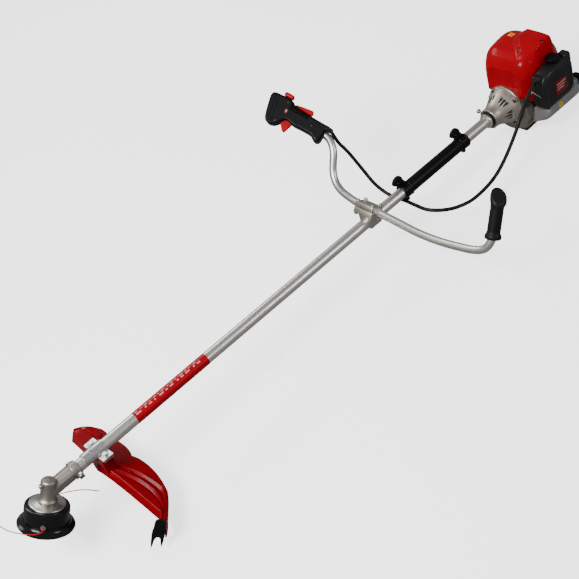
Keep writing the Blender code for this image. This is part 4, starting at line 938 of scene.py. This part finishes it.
def throttle_handle():
    half_width = 0.0185
    for side, name in ((-1, "near"), (1, "far")):
        low, high = sorted((side * GAP / 2, side * half_width))
        shape = prism(softened(HANDLE_OUTLINE, 2), low, high)
        rim = [e for e in shape.edges if all(abs(v.co.z - side * half_width) < 1e-6 for v in e.verts)]
        bevel(shape, rim, 0.0055, 5)
        cuts = [block((0.0765, -0.06, -0.0068), (0.12, -0.005, 0.0068)),
                block((0.042, 0.0112, -0.0065), (0.1, 0.05, 0.0065))]
        for k in range(4):
            u = 0.1215 + 0.0086 * k
            groove = prism([(u, -0.06), (u + 0.0022, -0.06), (u + 0.0222, 0.04), (u + 0.02, 0.04)],
                           *sorted((side * 0.0168, side * 0.03)))
            cuts.append(groove)
        for k in range(13):
            u = 0.05 + 0.0042 * k
            notch = block((u, 0.007, min(side * 0.01, side * 0.03)),
                          (u + 0.002, 0.03, max(side * 0.01, side * 0.03)))
            cuts.append(notch)
        shell = cut(shape, cuts)
        piece(f"handle_shell_{name}", shell, HANDLE, "black_plastic", node=f"throttle_shell_{name}",
              smooth=40)
        for u, v in ((0.01, -0.0215), (0.032, 0.0), (0.118, -0.033), (0.112, 0.021)):
            turn = turned_by(180, "X") if side < 0 else Matrix.Identity(4)
            place = HANDLE @ at(u, v, side * 0.0178) @ turn
            screw(f"handle_screw_{name}_{round(u * 1000)}", place, 0.0026, 0.001)
    badge = rounded(prism(softened([(0.101, -0.005), (0.109, -0.007), (0.1115, 0.005), (0.1035, 0.006)], 1),
                          -0.0191, -0.018), 0.0003, 2)
    piece("handle_badge", badge, HANDLE, "badge_red", slot="black_plastic")
    marks = [block((0.104 + 0.0026 * k, -0.0032, -0.0193),
                   (0.1054 + 0.0026 * k, 0.0034, -0.019)) for k in range(2)]
    piece("handle_badge_marks", merged(*marks), HANDLE, "label_pale", slot="black_plastic")
    end, after = (Vector(point) for point in CABLE_ROUTE[:2])
    along = (end - after).normalized()
    boot = [(0.0049, -0.012), (0.0058, -0.012), (0.0062, -0.009), (0.0058, -0.0085), (0.0066, -0.005),
            (0.0062, -0.0045), (0.007, -0.001), (0.0076, 0.001), (0.008, 0.008), (0.0049, 0.008)]
    piece("cable_boot", turned(boot, 40), SHAFT @ Matrix.Translation(end) @ pointing(along),
          "black_rubber", slot="black_plastic")
    pull = [(0.112, -0.015), (0.08, -0.015), (0.079, -0.02), (0.086, -0.044), (0.0895, -0.048),
            (0.095, -0.045), (0.102, -0.036), (0.112, -0.026)]
    trigger = rounded(prism(softened(pull, 2), -0.0062, 0.0062), 0.0014, 3, 50)
    piece("trigger_blade", trigger, HANDLE, "red_switch", node="throttle_trigger", body="trigger",
          smooth=50)
    lever = [(0.097, 0.02), (0.097, 0.026), (0.09, 0.029), (0.052, 0.035), (0.048, 0.0345),
             (0.045, 0.02)]
    piece("lockout_blade", rounded(prism(softened(lever, 2), -0.006, 0.006), 0.0014, 3, 50), HANDLE,
          "red_switch", node="lockout_lever", body="lockout", smooth=50)
    switch = block((0.108, 0.0325, -0.009), (0.135, 0.0445, 0.009), 0.0054, 6)
    ridges = [block((0.116 + 0.0042 * k, 0.0438, -0.006),
                    (0.1172 + 0.0042 * k, 0.05, 0.006)) for k in range(3)]
    piece("stop_slider", cut(switch, ridges), HANDLE, "red_switch", node="stop_switch", body="stop")


# --- engine

COVER_SECTIONS = [
    (1.529, 0.057, 0.029, 0.106), (1.535, 0.064, 0.024, 0.12), (1.545, 0.071, 0.018, 0.132),
    (1.56, 0.078, 0.013, 0.14), (1.585, 0.0805, 0.009, 0.144), (1.625, 0.0815, 0.009, 0.146),
    (1.65, 0.0775, 0.01, 0.138), (1.668, 0.068, 0.014, 0.12),
]


def through(rows, x):
    """A smooth curve through rows of (x, value...)."""
    for i in range(len(rows) - 1):
        if x <= rows[i + 1][0] or i == len(rows) - 2:
            break
    a, b = rows[i], rows[i + 1]
    before = rows[max(i - 1, 0)]
    after = rows[min(i + 2, len(rows) - 1)]
    span = b[0] - a[0]
    t = min(1.0, max(0.0, (x - a[0]) / span))
    result = []
    for k in range(1, len(a)):
        slope_a = (b[k] - before[k]) / (b[0] - before[0]) * span
        slope_b = (after[k] - a[k]) / (after[0] - a[0]) * span
        value = (2 * t**3 - 3 * t**2 + 1) * a[k] + (t**3 - 2 * t**2 + t) * slope_a
        value += (-2 * t**3 + 3 * t**2) * b[k] + (t**3 - t**2) * slope_b
        result.append(value)
    return result


def with_hump(x, y, z):
    """The cover's height with the raised shape on its top."""
    front = 1.5885 + 0.91 * max(y, -0.039) + 0.67 * max(0.0, -0.039 - y)
    hump = between(front - 0.01, front + 0.015, x) * (1 - between(1.642, 1.654, x))
    hump *= between(-0.082, -0.066, y) * (1 - between(0.003, 0.02, y))
    top = 0.1568 - 0.1 * max(0.0, -0.045 - y) - 0.2 * max(0.0, 1.608 - x)
    return z + hump * between(0.088, 0.125, z) * max(0.0, top - z)


def cover_point(x, turn):
    """A point on the cover's outside; the turn runs from the right side over the top to the left."""
    half, low, top = through(COVER_SECTIONS, x)
    c, s = math.cos(turn), math.sin(turn)
    y = half * math.copysign(abs(c) ** 0.4, c) + 0.001
    z = low + (top - low) * max(s, 0.0) ** 0.4
    return y, with_hump(x, y, z)


def cover_height(x, y):
    half, low, top = through(COVER_SECTIONS, x)
    c = min(1.0, abs(y - 0.001) / half) ** 2.5
    return with_hump(x, y, low + (top - low) * math.sqrt(1 - c * c) ** 0.4)


def on_cover(x, y):
    """A place on the cover's outside with its Z along the surface normal."""
    step = 0.001
    slope_x = (cover_height(x + step, y) - cover_height(x - step, y)) / (2 * step)
    slope_y = (cover_height(x, y + step) - cover_height(x, y - step)) / (2 * step)
    normal = Vector((-slope_x, -slope_y, 1)).normalized()
    return SHAFT @ at(x, y, cover_height(x, y)) @ pointing(normal)


def top_cover():
    count, around = 128, 180
    front_x, rear_x = COVER_SECTIONS[0][0], COVER_SECTIONS[-1][0]
    turns = []
    for k in range(around + 1):
        share = k / around
        turns.append(math.pi * (share - 0.055 * math.sin(4 * math.pi * share)))
    rows = []
    front = [cover_point(front_x, turn) for turn in turns]
    for s in (0.16, 0.24, 0.32, 0.4, 0.48, 0.56, 0.63, 0.7, 0.76, 0.82, 0.87, 0.91, 0.945, 0.97, 0.987):
        row = []
        for y, z in front:
            z_now = 0.03 + (z - 0.03) * s
            shelf = 0.0016 * between(0.066, 0.071, z_now + 0.12 * abs(y))
            row.append((1.5277 + shelf * (1 - s**6) - 0.001 * s + 0.0013 * s**8, y * s, z_now))
        rows.append(row)
    for i in range(count + 1):
        x = front_x + (rear_x - front_x) * i / count
        rows.append([(x, *cover_point(x, turn)) for turn in turns])
    for s, x in ((0.985, 1.6695), (0.95, 1.6706), (0.9, 1.6712)):
        row = []
        for turn in turns:
            y, z = cover_point(rear_x, turn)
            row.append((x, y * s, 0.05 + (z - 0.05) * s))
        rows.append(row)
    shell = skin(rows, closed=False)
    obj = piece("engine_cover", shell, SHAFT, "red_gloss", node="top_cover", smooth=60)
    thick = obj.modifiers.new("wall", "SOLIDIFY")
    thick.thickness = 0.0026
    thick.offset = -1
    for x, y, name in ((1.6135, -0.067, "a"), (1.57, -0.026, "b")):
        cup = turned([(0, -0.0015), (0.005, -0.0015), (0.0056, 0.0003), (0.0046, 0.0006), (0.004, -0.0006),
                      (0, -0.0006)], 32)
        piece(f"cover_cup_{name}", cup, on_cover(x, y), "red_gloss")
        screw(f"cover_screw_{name}", on_cover(x, y), 0.0038, 0.0016)
    film = block((-0.007, -0.008, -0.0005), (0.007, 0.008, 0.0004), 0.0002, 1)
    place = on_cover(1.6165, 0.034)
    piece("cover_sticker", film, place, "orange")
    marks = [block((-0.004, 0.003 - 0.003 * k, 0.0004), (0.004 - 0.0015 * k, 0.0042 - 0.003 * k, 0.0006))
             for k in range(3)]
    piece("cover_sticker_marks", merged(*marks), place, "dark_mark")


def housing():
    profile = [(0.0225, 1.45), (0.0268, 1.45), (0.0275, 1.4507), (0.0279, 1.46), (0.0284, 1.466),
               (0.03, 1.472), (0.0324, 1.478), (0.0358, 1.485), (0.0398, 1.493), (0.0438, 1.502),
               (0.047, 1.51), (0.0488, 1.5165), (0.0494, 1.519), (0.0532, 1.5194), (0.054, 1.5202),
               (0.054, 1.5268), (0.0532, 1.5275), (0.045, 1.5275), (0.044, 1.515), (0.036, 1.496),
               (0.036, 1.489), (0.02, 1.4865), (TUBE + GAP, 1.4865), (TUBE + GAP, 1.47),
               (0.0225, 1.47)]
    body = turned(profile, 120, "X")
    cuts = []
    for k in range(6):
        for spread, start in ((-12.5, 1.483), (0.0, 1.476), (12.5, 1.483)):
            wedge = prism([(start, -0.001), (1.4975, -0.0039), (1.4998, 0.0), (1.4975, 0.0039),
                           (start, 0.001)], 0.025, 0.06)
            cuts.append(moved(wedge, turned_by(60 * k + 31 + spread, "X")))
    body = cut(body, cuts)
    piece("clutch_bell", body, SHAFT, "cast_aluminium", node="clutch_housing", smooth=34)
    liner = turned([(0.035, 1.488), (0.0352, 1.496), (0.0425, 1.513), (0.042, 1.513), (0.0347, 1.496),
                    (0.0345, 1.488)], 64, "X")
    piece("bell_shadow_liner", liner, SHAFT, "dark_steel")
    for angle in (37, -53, 127, -143):
        turn = turned_by(-angle, "X")
        pad = rounded(turned([(0, 1.5125), (0.0075, 1.5125), (0.0078, 1.5195), (0, 1.5195)], 32, "X"),
                      0.0005)
        name = str(angle).replace("-", "m")
        place = SHAFT @ turn @ at(0, 0, 0.0478)
        piece(f"flange_boss_{name}", pad, place, "cast_aluminium")
        screw(f"flange_screw_{name}", place @ at(1.5125, 0, 0) @ turned_by(-90, "Y"), 0.0048, 0.0034)
    seat = turned([(0.0142, 1.4375), (0.0152, 1.4372), (0.0196, 1.439), (0.02, 1.44), (0.02, 1.45),
                   (0.0142, 1.45)], 64, "X")
    piece("tube_collar", seat, SHAFT, "bare_aluminium")


def air_cleaner():
    low_x, high_x, low_z, high_z = 1.534, 1.66, 0.0, 0.107
    outline = []
    corners = ((high_x, high_z, 0.03, 0), (low_x, high_z, 0.042, 90), (low_x, low_z, 0.024, 180),
               (high_x, low_z, 0.024, 270))
    for x, z, radius, start in corners:
        cx = x - radius if x == high_x else x + radius
        cz = z - radius if z == high_z else z + radius
        for k in range(9):
            turn = math.radians(start + 90 * k / 8)
            outline.append((cx + radius * math.cos(turn), cz + radius * math.sin(turn)))
    middle = Vector(((low_x + high_x) / 2, (low_z + high_z) / 2))

    def ring(inset, y):
        row = []
        for x, z in outline:
            p = Vector((x, z)) - middle
            size = 1 - inset / 0.055
            row.append((middle.x + p.x * size, y, middle.y + p.y * size))
        return row

    rows = [ring(0.004, -0.084), ring(0.0012, -0.085), ring(0.0, -0.088), ring(0.0, -0.1),
            ring(0.0006, -0.108), ring(0.0022, -0.114), ring(0.005, -0.118), ring(0.0085, -0.1204),
            ring(0.012, -0.1212), ring(0.0135, -0.1206), ring(0.015, -0.1192), ring(0.0175, -0.1186),
            ring(0.03, -0.1198), ring(0.042, -0.1204), ring(0.052, -0.1206)]
    piece("air_filter_cover", skin(rows), SHAFT, "filter_black", node="air_cleaner_cover", smooth=60)
    fin = block((1.633, -0.1165, 0.06), (1.659, -0.088, 0.1125), 0.0075, 5)
    piece("filter_fin", fin, SHAFT, "filter_black", smooth=60)
    step = block((1.5345, -0.112, 0.07), (1.556, -0.084, 0.101), 0.005, 4)
    piece("filter_step", step, SHAFT, "filter_black", smooth=60)
    plate = block((1.58, -0.1222, 0.026), (1.624, -0.119, 0.064), 0.0012, 2)
    piece("filter_badge", plate, SHAFT, "badge_red")
    bars = [block((1.585, -0.1225, 0.054 - 0.0075 * k),
                  (1.619 - 0.004 * k, -0.1215, 0.056 - 0.0075 * k), 0.0003, 1) for k in range(3)]
    piece("filter_badge_bars", merged(*bars), SHAFT, "label_pale")
    clip = rounded(block((1.54, -0.1235, 0.008), (1.55, -0.112, 0.03), 0.0025, 3), 0.0003)
    piece("filter_clip", clip, SHAFT, "filter_black")
    knob_base = turned([(0, 0), (0.0165, 0), (0.0168, 0.001), (0.0168, 0.005), (0.016, 0.006),
                        (0, 0.006)], 48)
    lobes = prism(softened([(-0.0185, -0.017), (0.0185, -0.017), (0.0185, 0.017), (-0.0185, 0.017)], 3),
                  0.004, 0.0135)
    knob = merged(knob_base, rounded(lobes, 0.0026, 4, 60))
    place = SHAFT @ at(1.608, -0.096, 0.1073)
    piece("choke_dial", knob, place, "black_plastic", node="choke_knob", body="choke", smooth=50)
    for k in range(4):
        rib = block((-0.001, 0.006, 0.0128), (0.001, 0.0115, 0.0143), 0.0004, 1)
        piece(f"choke_rib_{k}", rib, place @ turned_by(90 * k, "Z"), "black_plastic", body="choke")


def fuel_system():
    section = [
        (-0.056, -0.006), (-0.078, -0.0056), (-0.1, -0.0062), (-0.108, -0.012), (-0.11, -0.024),
        (-0.107, -0.034), (-0.098, -0.0415), (-0.08, -0.05), (-0.06, -0.059), (-0.04, -0.07),
        (-0.016, -0.078), (0.01, -0.08), (0.044, -0.08), (0.052, -0.075), (0.052, -0.06),
    ]
    rings = []
    for x, size in ((1.55, 0.66), (1.5506, 0.74), (1.5525, 0.85), (1.556, 0.93), (1.562, 0.985),
                    (1.572, 1.0), (1.623, 1.0), (1.624, 0.992), (1.6256, 0.992), (1.6266, 1.0),
                    (1.67, 1.0), (1.679, 0.985), (1.685, 0.94), (1.6888, 0.86), (1.69, 0.74)):
        row = []
        for y, z in section:
            near_y = y if y > -0.057 else -0.082 + (y + 0.082) * size
            near_z = z if z > -0.007 else -0.028 + (z + 0.028) * size
            row.append((x, near_y, near_z))
        rings.append(row)
    body = skin(rings)
    bmesh.ops.triangulate(body, faces=[f for f in body.faces if len(f.verts) > 4])
    cuts = [rod(0.069, 1.5, 1.72, 96, "X"), block((1.5, -0.056, -0.1), (1.6003, 0.09, 0.01))]
    body = cut(body, cuts)
    piece("tank_shell", body, SHAFT, "milky_tank", node="fuel_tank", smooth=44)
    lay = Matrix.Rotation(-math.pi / 2, 4, "X")
    front, rear, top = 1.552, 1.672, 0.0803
    rise = (rear - front) * math.tan(SHAFT_PITCH)
    side = [(front, BASE_LOW), (rear, BASE_LOW - rise), (rear, top), (1.6003, top),
            (1.6003, 0.0718), (front, 0.0718)]
    skid = moved(prism(side, -0.03, 0.03), lay)
    upright = []
    for edge in skid.edges:
        one, other = (v.co for v in edge.verts)
        level = abs(one.y - other.y) < 1e-6 and abs(one.x - other.x) < 0.01
        if level and min(one.z, other.z) < -0.085:
            upright.append(edge)
    bevel(skid, upright, 0.007, 5)
    grooves = [block((1.564 + 0.016 * k, -0.04, -0.0905),
                     (1.571 + 0.016 * k, -0.0292, -0.084)) for k in range(6)]
    piece("base_skid", cut(rounded(skid, 0.0012, 2), grooves), SHAFT, "black_plastic", node="base_guard")
    place = SHAFT @ at(0, -0.085, -0.012)
    neck = [(0.011, 1.67)]
    for k in range(5):
        neck += [(0.013, 1.6895 + 0.0012 * k), (0.0124, 1.6901 + 0.0012 * k)]
    neck += [(0.013, 1.696), (0.011, 1.696)]
    piece("tank_neck", turned(neck, 40, "X"), place, "milky_tank")
    cap = turned([(0, 1.6963), (0.0185, 1.6963), (0.019, 1.697), (0.019, 1.7085), (0.0182, 1.7105),
                  (0.016, 1.7125), (0.013, 1.713), (0.012, 1.7122), (0, 1.7122)], 96, "X")
    grooves = [moved(rod(0.0013, 1.699, 1.72, 10, "X"), turned_by(15 * k, "X") @ at(0, 0, 0.0194))
               for k in range(24)]
    piece("filler_lid", cut(cap, grooves), place, "black_plastic", node="fuel_cap", body="filler_cap",
          smooth=34)
    dot = turned([(0, 0), (0.0075, 0), (0.0072, 0.0003), (0, 0.0003)], 40)
    outward = Vector((0, -0.986, 0.164)).normalized()
    spot = SHAFT @ at(1.604, -0.1092, -0.0184) @ pointing(outward)
    piece("tank_spot", dot, spot, "yellow")
    mark = block((-0.001, -0.003, 0.0002), (0.001, 0.003, 0.0005))
    piece("tank_spot_mark", mark, spot, "dark_mark", slot="milky_tank")


def recoil_starter():
    profile = [
        (0.065, 1.601), (0.0672, 1.601), (0.068, 1.6018), (0.068, 1.625), (0.0676, 1.629), (0.0605, 1.703),
        (0.0592, 1.707), (0.056, 1.7102), (0.042, 1.7158), (0.04, 1.716), (0.01, 1.716), (0.01, 1.7125),
        (0.041, 1.7125), (0.057, 1.704), (0.065, 1.627),
    ]
    body = turned(profile, 96, "X")
    cuts = []
    for k in range(10):
        slot = prism([(0.03, -0.0024), (0.049, -0.0042), (0.0505, 0.0), (0.049, 0.0042), (0.03, 0.0024)],
                     -0.02, 0.02)
        turn = from_axes(Vector((0, 0, 1)), Vector((0, 1, 0)), Vector((-1, 0, 0)), Vector((1.712, 0, 0)))
        cuts.append(moved(slot, turned_by(36 * k + 10, "X") @ turn))
    cuts.append(moved(rod(0.003, 0.03, 0.09, 16, "Y"), at(1.7, 0, 0.024)))
    body = cut(body, cuts)
    piece("recoil_cover", body, SHAFT, "black_plastic", node="starter_housing", smooth=34)
    disc = turned([(0, 1.705), (0.052, 1.705), (0.052, 1.7065), (0, 1.7065)], 64, "X")
    piece("recoil_pulley", disc, SHAFT, "dark_steel")
    for angle in (45, 135, 225, 315):
        place = SHAFT @ turned_by(angle, "X") @ at(1.614, 0, 0.0672)
        screw(f"recoil_screw_{angle}", place, 0.0036, 0.0016)
    hub = turned([(0, 1.7155), (0.023, 1.7155), (0.023, 1.7164), (0.02, 1.7172), (0, 1.7172)], 64, "X")
    piece("recoil_badge", hub, SHAFT, "label_red")
    rope_x, rope_z = 1.7, 0.024
    steps, sides = 48, 12
    rows = []
    for i in range(steps + 1):
        y = 0.042 + 0.02 * i / steps
        twist = math.tau * i / 8
        row = []
        for k in range(sides):
            turn = math.tau * k / sides
            r = 0.0014 + 0.00018 * math.cos(3 * turn + twist)
            row.append((rope_x + r * math.cos(turn), y, rope_z + r * math.sin(turn)))
        rows.append(row)
    rope = piece("starter_rope", skin(rows), SHAFT, "tie", body=None)
    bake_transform(rope)


def engine_details():
    ribs = []
    for k in range(7):
        turn = math.radians(-150 + 20 * k)
        rib = block((1.5282, -0.0012, 0.056), (1.55, 0.0012, 0.0668), 0.0005, 1)
        ribs.append(moved(rib, at(0, 0, -0.012) @ Matrix.Rotation(math.pi / 2 - turn, 4, "X")))
    piece("fan_case_ribs", merged(*ribs), SHAFT, "dark_steel")
    fins = []
    for k in range(5):
        fins.append(block((1.574 + 0.013 * k, 0.0835, -0.015), (1.5775 + 0.013 * k, 0.0962, 0.04),
                          0.0008, 1))
    piece("muffler_ribs", merged(*fins), SHAFT, "dark_steel")
    route = smooth_route([(1.516, -0.096, 0.08), (1.513, -0.1015, 0.075), (1.509, -0.0985, 0.068),
                          (1.512, -0.093, 0.072), (1.516, -0.095, 0.0795)], 0.002)
    curve_piece("cable_tie_loop", route, 0.0007, SHAFT, "tie")
    tail = smooth_route([(1.513, -0.1015, 0.075), (1.52, -0.108, 0.064), (1.533, -0.109, 0.048),
                         (1.545, -0.106, 0.03)], 0.003)
    curve_piece("cable_tie_end", tail, 0.0007, SHAFT, "tie")
    relief = turned([(0.0048, 0), (0.0072, 0), (0.0075, 0.006), (0.0062, 0.007), (0.0062, 0.01),
                     (0.0048, 0.012)], 32)
    before, end = (Vector(point) for point in CABLE_ROUTE[-2:])
    along = (before - end).normalized()
    piece("cable_ferrule", relief, SHAFT @ Matrix.Translation(end) @ pointing(along), "zinc_steel")


gear_case()
trimmer_head()
guard()
shaft_fittings()
handlebar()
throttle_handle()
top_cover()
housing()
air_cleaner()
fuel_system()
recoil_starter()
engine_details()

# --- floor, light


def stage():
    n = Nodes("pale_floor")
    n.link(n.ramp(n.noise(2.0, 3), [(0.3, (0.86, 0.86, 0.86)), (0.7, (0.89, 0.89, 0.89))]),
           n.shader.inputs["Base Color"])
    n.shader.inputs["Roughness"].default_value = 0.8
    n.shader.inputs["Specular IOR Level"].default_value = 0.1
    n.shader.inputs["Emission Color"].default_value = (1, 1, 1, 1)
    n.shader.inputs["Emission Strength"].default_value = 1.9
    plane = bmesh.new()
    bmesh.ops.create_grid(plane, x_segments=1, y_segments=1, size=40.0)
    mesh = bpy.data.meshes.new("floor")
    plane.to_mesh(mesh)
    plane.free()
    mesh.materials.append(n.material)
    floor = bpy.data.objects.new("floor", mesh)
    bpy.context.scene.collection.objects.link(floor)
    floor.location.z = -0.0005
    floor.visible_glossy = False
    floor.visible_diffuse = False
    world = bpy.data.worlds.new("studio")
    world.use_nodes = True
    bpy.context.scene.world = world
    background = world.node_tree.nodes["Background"]
    background.inputs["Color"].default_value = (1.0, 1.0, 1.0, 1)
    background.inputs["Strength"].default_value = 0.24


def light(name, place, target, size, power):
    data = bpy.data.lights.new(name, "AREA")
    data.shape = "RECTANGLE"
    data.size, data.size_y = size
    data.energy = power
    obj = bpy.data.objects.new(name, data)
    bpy.context.scene.collection.objects.link(obj)
    obj.location = place
    aim = (Vector(target) - Vector(place)).to_track_quat("-Z", "Y")
    obj.rotation_euler = aim.to_euler()


stage()
light("key", (-2.0, -0.4, 2.7), (0.1, 0, 0.1), (1.4, 1.0), 140)
light("fill", (1.6, -2.5, 1.6), (0.2, 0, 0.1), (1.1, 0.9), 28)
light("back", (0.3, 2.4, 2.2), (0.2, 0, 0.1), (2.0, 0.8), 38)
